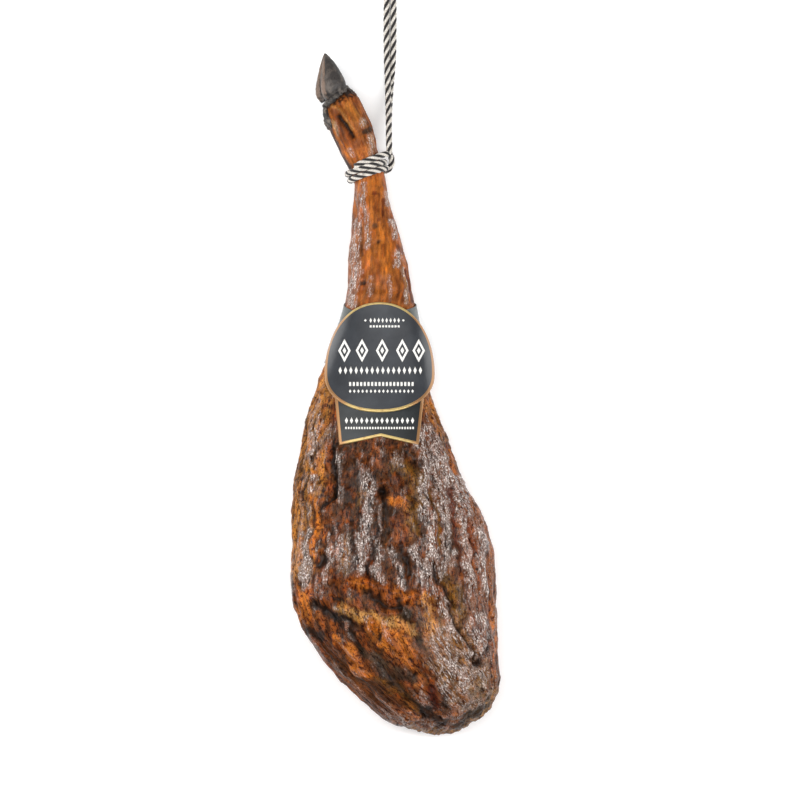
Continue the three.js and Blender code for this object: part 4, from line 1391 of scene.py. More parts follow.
    def band(self, material: Material) -> Piece:
        """Make the granular ring where the skin meets the claws.

        Args:
            material: The horn.

        Returns:
            The ring.
        """
        around, section = self.band_steps
        turn = math.radians(self.band_tilt)
        across = np.array([math.cos(turn), math.sin(turn), 0.0])
        up = np.array([0.0, 0.0, 1.0])
        onward = np.cross(up, across)
        points = []
        for step in range(around):
            angle = 2 * math.pi * step / around
            middle = self.band_reach[0] * math.cos(angle) * across + self.band_reach[1] * math.sin(angle) * up
            outward = middle / np.linalg.norm(middle)
            for part in range(section):
                spin = 2 * math.pi * part / section
                rim = self.band_section[0] * math.cos(spin) * outward
                rim = rim + self.band_section[1] * math.sin(spin) * onward
                points.append(np.array(self.band_middle) + middle + rim)
        points = np.array(points)
        faces = []
        for step in range(around):
            faces += belt(step * section, (step + 1) % around * section, section)
        mesh = shape_mesh("coronet_band", points, faces)
        grit = 0.9 * lumps(points, 2.6, 3, Pattern.BAND_GRIT) + 0.7 * lumps(points, 9, 2, Pattern.BAND_LUMP)
        move_points(mesh, points + mesh_normals(mesh) * grit[:, None])
        pale = ease(lumps(points, 3.5, 3, Pattern.BAND_TINT), 0.15, 0.7)
        store(mesh, "tint", mix(*self.band_tints, 0.8 * pale[:, None]))
        return new_piece("coronet_band", mesh, material)


# ---- Paper ----
class PaperForm:
    """The smooth sheet that a paper piece follows, as a radius round a line along the leg."""

    AXIS: Plan = (-24.0, 36.0)
    AROUND = 4
    ALONG = 3

    def __init__(self, node: str) -> None:
        """Fit the sheet to a CAD paper piece.

        Args:
            node: The CAD node.
        """
        x, y, z = node_points(node).T
        self.middle = (y.max() + y.min()) / 2
        self.half = (y.max() - y.min()) / 2
        angle = np.arctan2(z - self.AXIS[1], x - self.AXIS[0])
        radius = np.hypot(z - self.AXIS[1], x - self.AXIS[0])
        self.weights = np.linalg.lstsq(self.terms(y, angle), radius, rcond=None)[0]

    def terms(self, y: np.ndarray, angle: np.ndarray) -> np.ndarray:
        """Give the smooth shapes that the sheet is a sum of.

        Args:
            y: Places along the leg.
            angle: Angles round it.

        Returns:
            One column for each shape.
        """
        along = (y - self.middle) / self.half
        waves = [np.ones_like(angle)]
        for order in range(1, self.AROUND + 1):
            waves += [np.cos(order * angle), np.sin(order * angle)]
        return np.column_stack([wave * along**power for wave in waves for power in range(self.ALONG + 1)])

    def at(self, y: np.ndarray, angle: np.ndarray, height: np.ndarray | float) -> np.ndarray:
        """Give the points of a layer over the sheet.

        Args:
            y: Places along the leg.
            angle: Angles round it.
            height: How far the layer stands off the sheet's middle.

        Returns:
            One point a row.
        """
        radius = self.terms(y, angle) @ self.weights + height
        x = self.AXIS[0] + radius * np.cos(angle)
        return np.column_stack([x, y, self.AXIS[1] + radius * np.sin(angle)])

    def lay(self, plan: np.ndarray, height: np.ndarray | float) -> np.ndarray:
        """Lay places in plan on the sheet.

        Args:
            plan: Places in plan, one a row.
            height: How far they stand off the sheet's middle.

        Returns:
            One point a row.
        """
        low = np.zeros(len(plan))
        high = np.full(len(plan), math.pi)
        for _ in range(30):
            angle = (low + high) / 2
            right = self.at(plan[:, 1], angle, height)[:, 0] > plan[:, 0]
            low = np.where(right, angle, low)
            high = np.where(right, high, angle)
        return self.at(plan[:, 1], low, height)


def inset(corners: np.ndarray, distance: float) -> np.ndarray:
    """Move a closed outline's corners inwards so that each side moves by a distance.

    Args:
        corners: The corners, going round anticlockwise.
        distance: How far each side moves in.

    Returns:
        The new corners.
    """
    before = corners - np.roll(corners, 1, axis=0)
    after = np.roll(corners, -1, axis=0) - corners
    before /= np.linalg.norm(before, axis=1)[:, None]
    after /= np.linalg.norm(after, axis=1)[:, None]
    inward_before = np.column_stack([-before[:, 1], before[:, 0]])
    inward_after = np.column_stack([-after[:, 1], after[:, 0]])
    share = 1 + (inward_before * inward_after).sum(axis=1)
    return corners + distance * (inward_before + inward_after) / share[:, None]


def divided(corners: np.ndarray, steps: int) -> np.ndarray:
    """Divide each side of a closed outline.

    Args:
        corners: The corners, one a row.
        steps: How many parts each side gets.

    Returns:
        The points round the outline.
    """
    shares = np.arange(steps)[:, None] / steps
    following = np.roll(corners, -1, axis=0)
    return np.vstack([start * (1 - shares) + end * shares for start, end in zip(corners, following)])


def solid_sheet(
    name: str, form: PaperForm, rings: Sequence[np.ndarray], centre: Plan | None, layer: Plan
) -> tuple[Mesh, int]:
    """Make a thin closed sheet from rings of plan points that follow each other outwards.

    Args:
        name: The mesh's name.
        form: The sheet that it lies on.
        rings: The rings, inner to outer, with as many points each.
        centre: The middle point, or nothing for a sheet with an opening.
        layer: The lower and upper height over the form.

    Returns:
        The mesh, and how many faces each side has.
    """
    count = len(rings[0])
    rim = (len(rings) - 1) * count
    plan = np.vstack([*rings, [centre]] if centre is not None else list(rings))
    points = np.vstack([form.lay(plan, layer[1]), form.lay(plan, layer[0])])
    faces: list[tuple[int, ...]] = []
    for side in (0, len(plan)):
        if centre is not None:
            middle = side + len(plan) - 1
            faces += [(middle, side + i, side + (i + 1) % count) for i in range(count)]
        for ring in range(len(rings) - 1):
            faces += belt(side + ring * count, side + (ring + 1) * count, count)
    side_faces = len(faces) // 2
    for start in [rim] if centre is not None else [0, rim]:
        faces += belt(start, len(plan) + start, count)
    return shape_mesh(name, points, faces), side_faces


@dataclass(frozen=True)
class PrintRow:
    """A row of equal small printed marks.

    Attributes:
        start: Where the first mark's middle lies.
        end: Where the last mark's middle lies.
        count: How many marks there are.
        mark: A mark's width and height.
        lozenge: Whether a mark is a lozenge, or else a bar.
    """

    start: Plan
    end: Plan
    count: int
    mark: Plan
    lozenge: bool = True


class NodeTree:
    """A Geometry Nodes tree under construction."""

    def __init__(self, name: str, inputs: dict[str, str]) -> None:
        """Start a tree.

        Args:
            name: The tree's name.
            inputs: Each input's name and kind.
        """
        self.tree = bpy.data.node_groups.new(name, "GeometryNodeTree")
        face = self.tree.interface
        face.new_socket("Geometry", in_out="INPUT", socket_type="NodeSocketGeometry")
        self.sockets = {
            title: face.new_socket(title, in_out="INPUT", socket_type="NodeSocket" + kind).identifier
            for title, kind in inputs.items()
        }
        face.new_socket("Geometry", in_out="OUTPUT", socket_type="NodeSocketGeometry")
        self.entry = self.tree.nodes.new("NodeGroupInput")
        self.exit = self.tree.nodes.new("NodeGroupOutput")

    def input(self, title: str) -> Socket:
        """Give one of the tree's inputs."""
        return self.entry.outputs[title]

    def add(
        self, kind: str, feeds: dict[int | str, object], output: int | str = 0, **settings: object
    ) -> Socket:
        """Add a node.

        Args:
            kind: The node's type.
            feeds: What each of its inputs is linked to or set to.
            output: Which output is wanted.
            settings: The node's own settings.

        Returns:
            That output.
        """
        node = self.tree.nodes.new(kind)
        for setting, value in settings.items():
            setattr(node, setting, value)
        for socket, value in feeds.items():
            if isinstance(value, Socket):
                self.tree.links.new(value, node.inputs[socket])
            else:
                node.inputs[socket].default_value = value
        return node.outputs[output]

    def end(self, geometry: Socket) -> None:
        """Link the tree's result."""
        self.tree.links.new(geometry, self.exit.inputs["Geometry"])

    def run(self, piece: Piece, values: dict[str, object]) -> Mesh:
        """Run the tree on an object and give the plain mesh that it makes.

        Args:
            piece: The object, which is then removed.
            values: What each input is set to.

        Returns:
            The mesh.
        """
        modifier = piece.modifiers.new("nodes", "NODES")
        modifier.node_group = self.tree
        for title, value in values.items():
            modifier[self.sockets[title]] = value
        mesh = baked_mesh(piece)
        drop(piece)
        return mesh


def print_tree() -> NodeTree:
    """Make the tree that lays a row of lozenges or bars as thin solids.

    Returns:
        The tree.
    """
    inputs = {"Count": "Int", "Start": "Vector", "Step": "Vector", "Mark Size": "Vector"}
    inputs |= {"Thickness": "Float", "Lozenge": "Bool", "Ink": "Material"}
    tree = NodeTree("print_row", inputs)
    line = tree.add(
        "GeometryNodeMeshLine",
        {"Count": tree.input("Count"), "Start Location": tree.input("Start"), "Offset": tree.input("Step")},
        mode="OFFSET",
    )
    lozenge = tree.add("GeometryNodeMeshCircle", {"Vertices": 4, "Radius": 0.5}, fill_type="NGON")
    bar = tree.add("GeometryNodeMeshGrid", {"Size X": 1.0, "Size Y": 1.0, "Vertices X": 2, "Vertices Y": 2})
    mark = tree.add(
        "GeometryNodeSwitch",
        {"Switch": tree.input("Lozenge"), "False": bar, "True": lozenge},
        input_type="GEOMETRY",
    )
    sized = tree.add("GeometryNodeTransform", {"Geometry": mark, "Scale": tree.input("Mark Size")})
    spread = tree.add("GeometryNodeInstanceOnPoints", {"Points": line, "Instance": sized})
    flat = tree.add("GeometryNodeRealizeInstances", {"Geometry": spread})
    lift = tree.add("ShaderNodeCombineXYZ", {"Z": tree.input("Thickness")})
    raised = tree.add(
        "GeometryNodeExtrudeMesh", {"Mesh": flat, "Offset": lift, "Offset Scale": 1.0, "Individual": False}
    )
    back = tree.add("GeometryNodeFlipFaces", {"Mesh": flat})
    node = tree.tree.nodes.new("GeometryNodeJoinGeometry")
    for part in (raised, back):
        tree.tree.links.new(part, node.inputs[0])
    closed = tree.add("GeometryNodeMergeByDistance", {"Geometry": node.outputs[0], "Distance": 0.01 * MM})
    whole = tree.add("GeometryNodeRealizeInstances", {"Geometry": closed})
    tree.end(tree.add("GeometryNodeSetMaterial", {"Geometry": whole, "Material": tree.input("Ink")}))
    return tree


@dataclass(frozen=True)
class NeckPaper:
    """The collar round the shank, the egg-shaped card on it and the ribbon below the card."""

    card: PaperFinish
    collar: PaperFinish
    ribbon: PaperFinish
    foil: FoilFinish
    ink: InkFinish
    thickness: float = 0.8
    collar_steps: tuple[int, int] = (180, 14)
    collar_dip: float = 12.0
    fill_steps: int = 12
    card_steps: int = 200
    card_centre: Plan = (-19.0, 22.3)
    card_half_width: float = 66.0
    card_rise: float = 86.4
    card_drop: float = 45.0
    card_border: Plan = (2.4, 3.6)
    card_fullness: float = 2.12
    card_middle: Plan = (-19.0, 40.0)
    ribbon_corners: tuple[Plan, ...] = ((34, -6), (-72.6, -3), (-67, -62), (-17.5, -51.3), (27.6, -61.5))
    ribbon_middle: Plan = (-19.0, -30.0)
    ribbon_border: float = 3.4
    ribbon_steps: int = 26
    ink_thickness: float = 0.12
    ink_gap: float = 0.02
    tall_marks: tuple[Plan, ...] = ((-61, 51), (-39.9, 51), (-15.8, 51), (8.2, 51), (27.8, 51))
    tall_size: Plan = (15.0, 28.0)
    tall_core: float = 0.3
    tall_line: float = 2.5
    tall_steps: int = 6
    card_rows: tuple[PrintRow, ...] = (
        PrintRow((-36, 87), (9.4, 87), 2, (3.2, 3.2)),
        PrintRow((-29.6, 87), (3.8, 87), 8, (2.9, 6.2)),
        PrintRow((-29.6, 79.8), (3.8, 79.8), 10, (2.4, 2.6), False),
        PrintRow((-66, 27.2), (29.8, 27.2), 16, (3.9, 9.6)),
        PrintRow((-54, 11), (20.4, 11), 18, (2.5, 4.8), False),
        PrintRow((-54, 2.4), (20.4, 2.4), 16, (2.9, 4.6)),
    )
    ribbon_rows: tuple[PrintRow, ...] = (
        PrintRow((-58.4, -32.6), (20.4, -32.6), 14, (3.8, 8.0)),
        PrintRow((-59, -41.4), (21, -41.4), 26, (1.9, 2.7), False),
    )

    def build(self) -> list[Piece]:
        """Make the papers and their print.

        Returns:
            The pieces.
        """
        foil = self.foil.material()
        ink = self.ink.material()
        card_form = PaperForm("main_label")
        ribbon_form = PaperForm("ribbon_label")
        rows = print_tree()
        collar = self.make_collar(self.collar.material())
        card = self.make_card(card_form, (self.card.material(), foil))
        ribbon = self.make_ribbon(ribbon_form, (self.ribbon.material(), foil))
        card_print = self.make_print("card_print", card_form, rows, self.card_rows, ink, self.tall_marks)
        ribbon_print = self.make_print("ribbon_print", ribbon_form, rows, self.ribbon_rows, ink, ())
        for piece, slot in (
            (collar, "band_paper"),
            (card, "card"),
            (card_print, "card"),
            (ribbon, "ribbon_card"),
            (ribbon_print, "ribbon_card"),
        ):
            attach(piece, BODY)
        return [collar, card, ribbon, card_print, ribbon_print]

    def make_collar(self, paper: Material) -> Piece:
        """Make the collar as one even ring of paper.

        Args:
            paper: Its paper.

        Returns:
            The collar.
        """
        form = PaperForm("neck_band")
        around, rows = self.collar_steps
        low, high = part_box("neck_band")
        bottom = low.y / MM
        angle = np.linspace(0, 2 * math.pi, around, endpoint=False)
        top = (high.y / MM) - self.collar_dip * (1 + np.sin(angle))
        points = []
        for height in (self.thickness / 2, -self.thickness / 2):
            for share in (row / (rows - 1) for row in range(rows)):
                points.append(form.at(bottom + (top - bottom) * share, angle, height))
        faces = []
        for side in (0, rows):
            for row in range(rows - 1):
                faces += belt((side + row) * around, (side + row + 1) * around, around)
        faces += belt(0, rows * around, around)
        faces += belt((rows - 1) * around, (2 * rows - 1) * around, around)
        mesh = shape_mesh("collar_paper", np.vstack(points), faces)
        piece = new_piece("collar_paper", mesh, paper)
        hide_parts("neck_band")
        return piece

    def egg(self) -> np.ndarray:
        """Give the card's outline.

        Returns:
            Its points in plan, going round anticlockwise.
        """
        turn = np.linspace(0, 2 * math.pi, self.card_steps, endpoint=False)
        power = 2 / self.card_fullness
        side = np.sign(np.cos(turn)) * np.abs(np.cos(turn)) ** power
        rise = np.sign(np.sin(turn)) * np.abs(np.sin(turn)) ** power
        tall = np.where(rise > 0, self.card_rise, self.card_drop)
        return np.column_stack(
            [self.card_centre[0] + self.card_half_width * side, self.card_centre[1] + tall * rise]
        )

    def bordered(
        self,
        name: str,
        form: PaperForm,
        rings: Sequence[np.ndarray],
        centre: Plan,
        materials: tuple[Material, Material],
    ) -> Piece:
        """Make a paper whose outermost ring of faces is foil.

        Args:
            name: The piece's name.
            form: The sheet that it lies on.
            rings: The border's outline and its inner edge.
            centre: The paper's middle.
            materials: Paper and foil.

        Returns:
            The piece.
        """
        outline, edge = rings
        fill = [mix(centre, edge, share) for share in np.linspace(0.08, 1, self.fill_steps)]
        layer = (-self.thickness / 2, self.thickness / 2)
        mesh, side_faces = solid_sheet(name, form, [*fill, (edge + outline) / 2, outline], centre, layer)
        piece = new_piece(name, mesh, *materials)
        count = len(outline)
        for face in mesh.polygons[side_faces - 2 * count : side_faces]:
            face.material_index = 1
        return piece

    def make_card(self, form: PaperForm, materials: tuple[Material, Material]) -> Piece:
        """Make the egg-shaped card.

        Args:
            form: The sheet that it lies on.
            materials: Paper and foil.

        Returns:
            The card.
        """
        outline = self.egg()
        above = ease(outline[:, 1], self.card_centre[1] - 20, self.card_centre[1] + 40)[:, None]
        narrow, wide = self.card_border
        edge = mix(outline, inset(outline, 1.0), wide + (narrow - wide) * above)
        piece = self.bordered("card_paper", form, (outline, edge), self.card_middle, materials)
        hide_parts("main_label")
        return piece

    def make_ribbon(self, form: PaperForm, materials: tuple[Material, Material]) -> Piece:
        """Make the swallowtail ribbon.

        Args:
            form: The sheet that it lies on.
            materials: Paper and foil.

        Returns:
            The ribbon.
        """
        corners = np.array(self.ribbon_corners, float)
        inner = inset(corners, self.ribbon_border)
        rings = (divided(corners, self.ribbon_steps), divided(inner, self.ribbon_steps))
        piece = self.bordered("ribbon_paper", form, rings, self.ribbon_middle, materials)
        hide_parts("ribbon_label")
        return piece

    def make_print(
        self,
        name: str,
        form: PaperForm,
        tree: NodeTree,
        rows: Sequence[PrintRow],
        ink: Material,
        tall_marks: Sequence[Plan],
    ) -> Piece:
        """Make the printed ornament of one paper.

        Args:
            name: The piece's name.
            form: The sheet that it lies on.
            tree: The tree that makes a row.
            rows: The rows of small marks.
            ink: The ink.
            tall_marks: Where the tall hollow lozenges lie.

        Returns:
            The print.
        """
        surface = self.thickness / 2 + self.ink_gap
        whole = bmesh.new()
        for row in rows:
            gaps = max(row.count - 1, 1)
            step = [(e - s) / gaps * MM for s, e in zip(row.start, row.end)]
            seed = new_piece("print_seed", bpy.data.meshes.new("print_seed"))
            values = {
                "Count": row.count,
                "Start": (row.start[0] * MM, row.start[1] * MM, 0.0),
                "Step": (*step, 0.0),
                "Mark Size": (row.mark[0] * MM, row.mark[1] * MM, 1.0),
                "Thickness": self.ink_thickness * MM,
                "Lozenge": row.lozenge,
                "Ink": ink,
            }
            flat = tree.run(seed, values)
            points = mesh_points(flat)
            move_points(flat, form.lay(points[:, :2], surface + points[:, 2]))
            whole.from_mesh(flat)
            bpy.data.meshes.remove(flat)
        for mark in tall_marks:
            for share, hollow in ((1.0, True), (self.tall_core, False)):
                part = self.lozenge(form, mark, share, hollow, surface)
                whole.from_mesh(part)
                bpy.data.meshes.remove(part)
        bmesh.ops.recalc_face_normals(whole, faces=whole.faces)
        mesh = bpy.data.meshes.new(name)
        whole.to_mesh(mesh)
        whole.free()
        return new_piece(name, mesh, ink)

    def lozenge(
        self, form: PaperForm, middle: Plan, share: float, hollow: bool, surface: float
    ) -> Mesh:
        """Make one tall lozenge, whole or as an outline.

        Args:
            form: The sheet that it lies on.
            middle: Its middle.
            share: Its size, as a share of the full size.
            hollow: Whether it is only an outline.
            surface: The height of the paper's face.

        Returns:
            Its mesh.
        """
        half = np.array(self.tall_size) * share / 2
        corners = np.array([(half[0], 0), (0, half[1]), (-half[0], 0), (0, -half[1])]) + middle
        outline = divided(corners, self.tall_steps)
        layer = (surface, surface + self.ink_thickness)
        if hollow:
            inner = divided(inset(corners, self.tall_line), self.tall_steps)
            return solid_sheet("lozenge", form, [inner, outline], None, layer)[0]
        return solid_sheet("lozenge", form, [outline], middle, layer)[0]


# ---- Rope ----
STRANDS = 4
STRAND_REACH = 0.586  # from the rope's middle to a strand's middle, as a share of the rope's radius
STRAND_RADIUS = 0.45  # a strand's radius, as a share of the rope's


class Weight(Enum):
    """How many sides a strand has."""

    SEEN = 10
    TUCKED = 8


def rope_tree() -> NodeTree:
    """Make the tree that twists four strands round a path.

    Returns:
        The tree.
    """
    inputs = {"Rope Radius": "Float", "Lay Length": "Float", "Step": "Float", "Sides": "Int"}
    inputs |= {"Dark": "Material", "Light": "Material"}
    tree = NodeTree("twisted_rope", inputs)
    radius = tree.input("Rope Radius")
    route = {"Curve": tree.input("Geometry"), "Length": tree.input("Step")}
    even = tree.add("GeometryNodeResampleCurve", route, mode="LENGTH")
    copies = {"Geometry": even, "Amount": STRANDS}
    number = tree.add("GeometryNodeDuplicateElements", copies, "Duplicate Index", domain="SPLINE")
    lines = number.node.outputs["Geometry"]
    length = tree.add("GeometryNodeSplineParameter", {}, "Length")
    turns = tree.add("ShaderNodeMath", {0: length, 1: tree.input("Lay Length")}, operation="DIVIDE")
    start = tree.add("ShaderNodeMath", {0: number, 1: 1 / STRANDS}, operation="MULTIPLY")
    total = tree.add("ShaderNodeMath", {0: turns, 1: start}, operation="ADD")
    angle = tree.add("ShaderNodeMath", {0: total, 1: 2 * math.pi}, operation="MULTIPLY")
    normal = tree.add("GeometryNodeInputNormal", {})
    turned = {"Vector": normal, "Axis": tree.add("GeometryNodeInputTangent", {}), "Angle": angle}
    around = tree.add("ShaderNodeVectorRotate", turned, rotation_type="AXIS_ANGLE")
    away = tree.add("ShaderNodeMath", {0: radius, 1: STRAND_REACH}, operation="MULTIPLY")
    offset = tree.add("ShaderNodeVectorMath", {0: around, "Scale": away}, operation="SCALE")
    strands = tree.add("GeometryNodeSetPosition", {"Geometry": lines, "Offset": offset})
    thick = tree.add("ShaderNodeMath", {0: radius, 1: STRAND_RADIUS}, operation="MULTIPLY")
    section = {"Resolution": tree.input("Sides"), "Radius": thick}
    ring = tree.add("GeometryNodeCurvePrimitiveCircle", section, mode="RADIUS")
    tubes = tree.add("GeometryNodeCurveToMesh", {"Curve": strands, "Profile Curve": ring, "Fill Caps": True})
    odd = tree.add("ShaderNodeMath", {0: number, 1: 2.0}, operation="MODULO")
    whole = tree.add("GeometryNodeRealizeInstances", {"Geometry": tubes})
    dark = tree.add("GeometryNodeSetMaterial", {"Geometry": whole, "Material": tree.input("Dark")})
    choice = {"Geometry": dark, "Selection": odd, "Material": tree.input("Light")}
    tree.end(tree.add("GeometryNodeSetMaterial", choice))
    return tree


@dataclass(frozen=True)
class HangingRope:
    """The rope's hitch round the ankle, its two free legs and the knot that joins them."""

    dark: StrandFinish
    light: StrandFinish
    diameter: float = 7.4
    lay: float = 26.0
    step: float = 0.8
    ankle: Place = (-34.4, 267.4, 26.6)
    ankle_tilt: float = 17.6
    left_route: tuple[Place, ...] = (
        (-7.2, 287, 36.5), (-7.6, 300, 33.4), (-8, 320, 27), (-8.4, 340, 20.4), (-8.9, 360, 15),
        (-9.6, 380, 11.6), (-10.3, 400, 8.6), (-10.8, 420, 5.6), (-10.9, 440, 4.2), (-10.8, 460, 3.9),
        (-10.6, 476, 5), (-10.5, 486, 7.2), (-10.5, 495, 8.4), (-10.5, 500, 8.5),
    )
    right_route: tuple[Place, ...] = (
        (-7.4, 287, 28.4), (-7.8, 300, 24.6), (-8, 320, 17.6), (-7.6, 340, 10.8), (-6.6, 360, 6.2),
        (-5, 380, 4.2), (-3.4, 400, 3.9), (-2.7, 420, 3.9), (-2.5, 440, 3.9), (-2.5, 460, 3.9),
        (-2.5, 476, 5), (-2.6, 486, 7.2), (-2.6, 495, 8.4), (-2.6, 500, 8.5),
    )
    # Turns of the hitch: angle up from the leg's right edge in degrees, distance towards the foot,
    # and extra height off the skin.
    wraps: tuple[Place, ...] = (
        (262, -3.4, 0.0), (180, -4.6, 0.0), (90, -3.8, 0.0), (0, -3.6, 0.0), (-90, 0.0, 0.0),
        (-180, 3.6, 0.0), (-270, 3.8, 0.0), (-360, 4.0, 0.0), (-440, 4.2, 0.0),
    )
    bight: tuple[Place, ...] = (
        (118, 8.6, -1.2), (92, 10.2, -0.4), (60, 11.2, 0.6), (36, 12.2, 3.6), (18, 11.4, 8.2),
        (4, 6.4, 9.4), (-4, 0.0, 7.6), (-12, -4.6, 3.6), (-34, -5.6, 1.0),
    )
    leg_steps: int = 12
    wrap_steps: int = 16
    wrap_thinning: int = 4
    tail_steps: int = 8
    skin_gap: float = 0.4
    knot_steps: int = 90
    knot_turns: float = 3.0
    knot_span: Plan = (503.0, 523.0)
    knot_middle: Plan = (-6.5, 8.6)
    knot_reach: Plan = (8.0, 4.8)
    tails: tuple[tuple[Place, ...], ...] = (
        ((-10.2, 499.4, 8.5), (-9.2, 508, 8.6), (-9.2, 522, 8.6), (-11.6, 534, 7.6), (-13.6, 545, 5.2)),
        ((-2.8, 499.4, 8.5), (-3.8, 508, 8.6), (-3.8, 522, 8.6), (-1.4, 534, 7.2), (0.4, 543, 5.0)),
    )

    def build(self) -> list[Piece]:
        """Make the rope.

        Returns:
            The pieces.
        """
        tree = rope_tree()
        colours = (self.dark.material(), self.light.material())
        knot = self.join("rope_knot_strands", self.knot_paths(), tree, colours, Weight.TUCKED)
        hitch = self.join("rope_hitch_strands", self.hitch_paths(), tree, colours, Weight.SEEN)
        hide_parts("rope_knot")
        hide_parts("rope_hitch")
        legs = []
        paths = [curve_points(route, self.leg_steps) for route in (self.left_route, self.right_route)]
        for name, path in zip(("rope_leg_left", "rope_leg_right"), paths):
            leg = self.join(name + "_strands", [path], tree, colours, Weight.SEEN)
            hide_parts(name)
            legs.append(leg)
        pieces = [knot, hitch, *legs]
        for piece in pieces:
            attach(piece, BODY)
        for leg, path, holds in zip(legs, paths, ([knot], [])):
            path = path * MM
        return pieces

    def join(
        self,
        name: str,
        paths: Sequence[np.ndarray],
        tree: NodeTree,
        colours: tuple[Material, Material],
        weight: Weight,
    ) -> Piece:
        """Twist rope along paths, as one piece.

        Args:
            name: The piece's name.
            paths: The middle lines, in millimetres.
            tree: The tree that twists it.
            colours: The dark and the light strands' cotton.
            weight: How fine the strands are.

        Returns:
            The piece.
        """
        curve = bpy.data.curves.new(name + "_path", "CURVE")
        curve.dimensions = "3D"
        for path in paths:
            spline = curve.splines.new("POLY")
            spline.points.add(len(path) - 1)
            spline.points.foreach_set("co", np.column_stack([path * MM, np.ones(len(path))]).ravel())
        guide = bpy.data.objects.new(name + "_path", curve)
        bpy.context.scene.collection.objects.link(guide)
        values = {
            "Rope Radius": self.diameter / 2 * MM,
            "Lay Length": self.lay * MM,
            "Step": self.step * MM,
            "Sides": weight.value,
            "Dark": colours[0],
            "Light": colours[1],
        }
        mesh = tree.run(guide, values)
        piece = bpy.data.objects.new(name, mesh)
        bpy.context.scene.collection.objects.link(piece)
        mesh.shade_smooth()
        return piece

    def hitch_paths(self) -> list[np.ndarray]:
        """Lay the wraps and the bight on the ankle.

        Returns:
            Their middle lines.
        """
        mesh = rounded_copy("ham_leg", 1)
        faces = [list(face.vertices) for face in mesh.polygons]
        tree = BVHTree.FromPolygons([vertex.co for vertex in mesh.vertices], faces)
        tilt = math.radians(self.ankle_tilt)
        across = Vector((math.cos(tilt), math.sin(tilt), 0))
        onward = Vector((-math.sin(tilt), math.cos(tilt), 0))
        paths = []
        for turns in (self.wraps, self.bight):
            path = []
            for angle, ahead, lift in curve_points(turns, self.wrap_steps):
                turn = math.radians(angle)
                out = across * math.cos(turn) + Vector((0, 0, math.sin(turn)))
                centre = Vector(self.ankle) * MM + onward * ahead * MM
                hit = tree.ray_cast(centre, out)[0]
                path.append((hit + out * (self.diameter / 2 + self.skin_gap + lift) * MM) / MM)
            path = np.array([tuple(point) for point in path])
            paths.append(curve_points(path[:: self.wrap_thinning], self.wrap_thinning))
        bpy.data.meshes.remove(mesh)
        return paths

    def knot_paths(self) -> list[np.ndarray]:
        """Give the knot's turns and the two tails that leave it.

        Returns:
            Their middle lines.
        """
        turn = np.linspace(0, 2 * math.pi * self.knot_turns, self.knot_steps)
        along = np.linspace(*self.knot_span, self.knot_steps)
        x = self.knot_middle[0] + self.knot_reach[0] * np.cos(turn)
        z = self.knot_middle[1] + self.knot_reach[1] * np.sin(turn)
        coil = np.column_stack([x, along, z])
        return [coil, *(curve_points(tail, self.tail_steps) for tail in self.tails)]


# ---- Studio ----
@dataclass(frozen=True)
class SoftLight:
    """One soft studio light.

    Attributes:
        name: Its name.
        place: Where it hangs, in metres.
        size: Its width and length, in metres.
        power: Its power, in watts.
        mirrored: Whether glossy surfaces reflect it.
    """

    name: str
    place: Place
    size: Plan
    power: float
    mirrored: bool = True


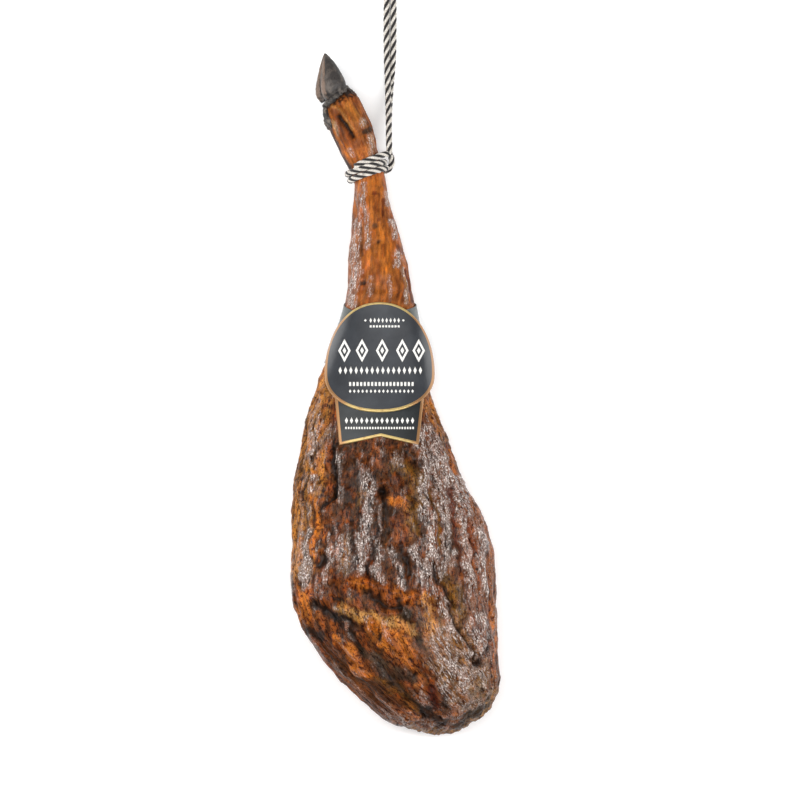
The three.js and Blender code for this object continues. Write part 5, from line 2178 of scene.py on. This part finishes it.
@dataclass(frozen=True)
class Studio:
    """A pale floor, soft lights and a camera that looks straight down."""

    floor: FloorFinish
    floor_size: float = 12.0
    floor_drop: float = 0.3
    aim_height: float = 0.05
    camera_place: Place = (0.0054, -0.0081, 5.38)
    lens: float = 200.0
    sensor: float = 36.0
    far_limit: float = 100.0
    world: float = 0.3
    world_colour: Colour = (0.97, 0.98, 1.0, 1.0)
    lights: tuple[SoftLight, ...] = (
        SoftLight("left_strip", (-1.2, 0.1, 1.7), (0.22, 2.6), 30.0),
        SoftLight("right_strip", (0.9, 0.0, 1.9), (0.2, 2.6), 30.0),
        SoftLight("left_panel", (-2.3, 0.0, 2.2), (0.9, 3.0), 30.0, False),
        SoftLight("right_panel", (2.3, 0.0, 2.2), (0.9, 3.0), 30.0, False),
    )

    def build(self) -> None:
        """Set the studio up."""
        self.make_camera()
        self.make_floor()
        for light in self.lights:
            self.hang(light)
        world = bpy.data.worlds.new("studio")
        world.use_nodes = True
        background = world.node_tree.nodes["Background"]
        background.inputs["Strength"].default_value = self.world
        background.inputs["Color"].default_value = self.world_colour
        world.cycles_visibility.glossy = False
        bpy.context.scene.world = world
        bpy.context.scene.view_settings.view_transform = "Standard"

    def make_camera(self) -> None:
        """Put the camera over the ham."""
        data = bpy.data.cameras.new("camera")
        data.lens = self.lens
        data.sensor_width = self.sensor
        data.clip_end = self.far_limit
        camera = bpy.data.objects.new("camera", data)
        camera.location = self.camera_place
        bpy.context.scene.collection.objects.link(camera)
        bpy.context.scene.camera = camera

    def make_floor(self) -> None:
        """Lay the floor."""
        half, drop = self.floor_size / 2 / MM, -self.floor_drop
        corners = ((-half, -half, drop), (half, -half, drop), (half, half, drop), (-half, half, drop))
        points = np.array(corners)
        mesh = bpy.data.meshes.new("floor")
        mesh.from_pydata((points * MM).tolist(), [], [(0, 1, 2, 3)])
        new_piece("floor", mesh, self.floor.material())

    def hang(self, light: SoftLight) -> None:
        """Hang one light, turned to the ham.

        Args:
            light: The light.
        """
        data = bpy.data.lights.new(light.name, "AREA")
        data.shape = "RECTANGLE"
        data.size, data.size_y = light.size
        data.energy = light.power
        lamp = bpy.data.objects.new(light.name, data)
        lamp.location = light.place
        lamp.visible_glossy = light.mirrored
        aim = Vector((0, light.place[1], self.aim_height)) - Vector(light.place)
        lamp.rotation_euler = aim.to_track_quat("-Z", "Y").to_euler()
        bpy.context.scene.collection.objects.link(lamp)


def main() -> None:
    """Build the studio, the rope and the ham, in that order."""
    logging.basicConfig(level=logging.INFO, format="%(name)s: %(message)s")
    Studio(FloorFinish()).build()
    rope = HangingRope(
        StrandFinish("black_cotton", paint(40, 36, 36), paint(16, 14, 14)),
        StrandFinish("cream_cotton", paint(226, 220, 210), paint(156, 146, 136)),
    )
    pieces = rope.build()
    pieces.append(HamLeg(SkinFinish()).build())
    pieces += Hoof(HornFinish()).build()
    pieces += NeckPaper(
        card=PaperFinish("charcoal_card", paint(46, 48, 52)),
        collar=PaperFinish("grey_collar", paint(66, 72, 68), 0.42),
        ribbon=PaperFinish("dark_ribbon", paint(28, 31, 31), 0.4),
        foil=FoilFinish(),
        ink=InkFinish(),
    ).build()
    for piece in pieces:
        LOG.info("%s: %d faces", piece.name, len(piece.data.polygons))


if __name__ == "__main__":
    main()
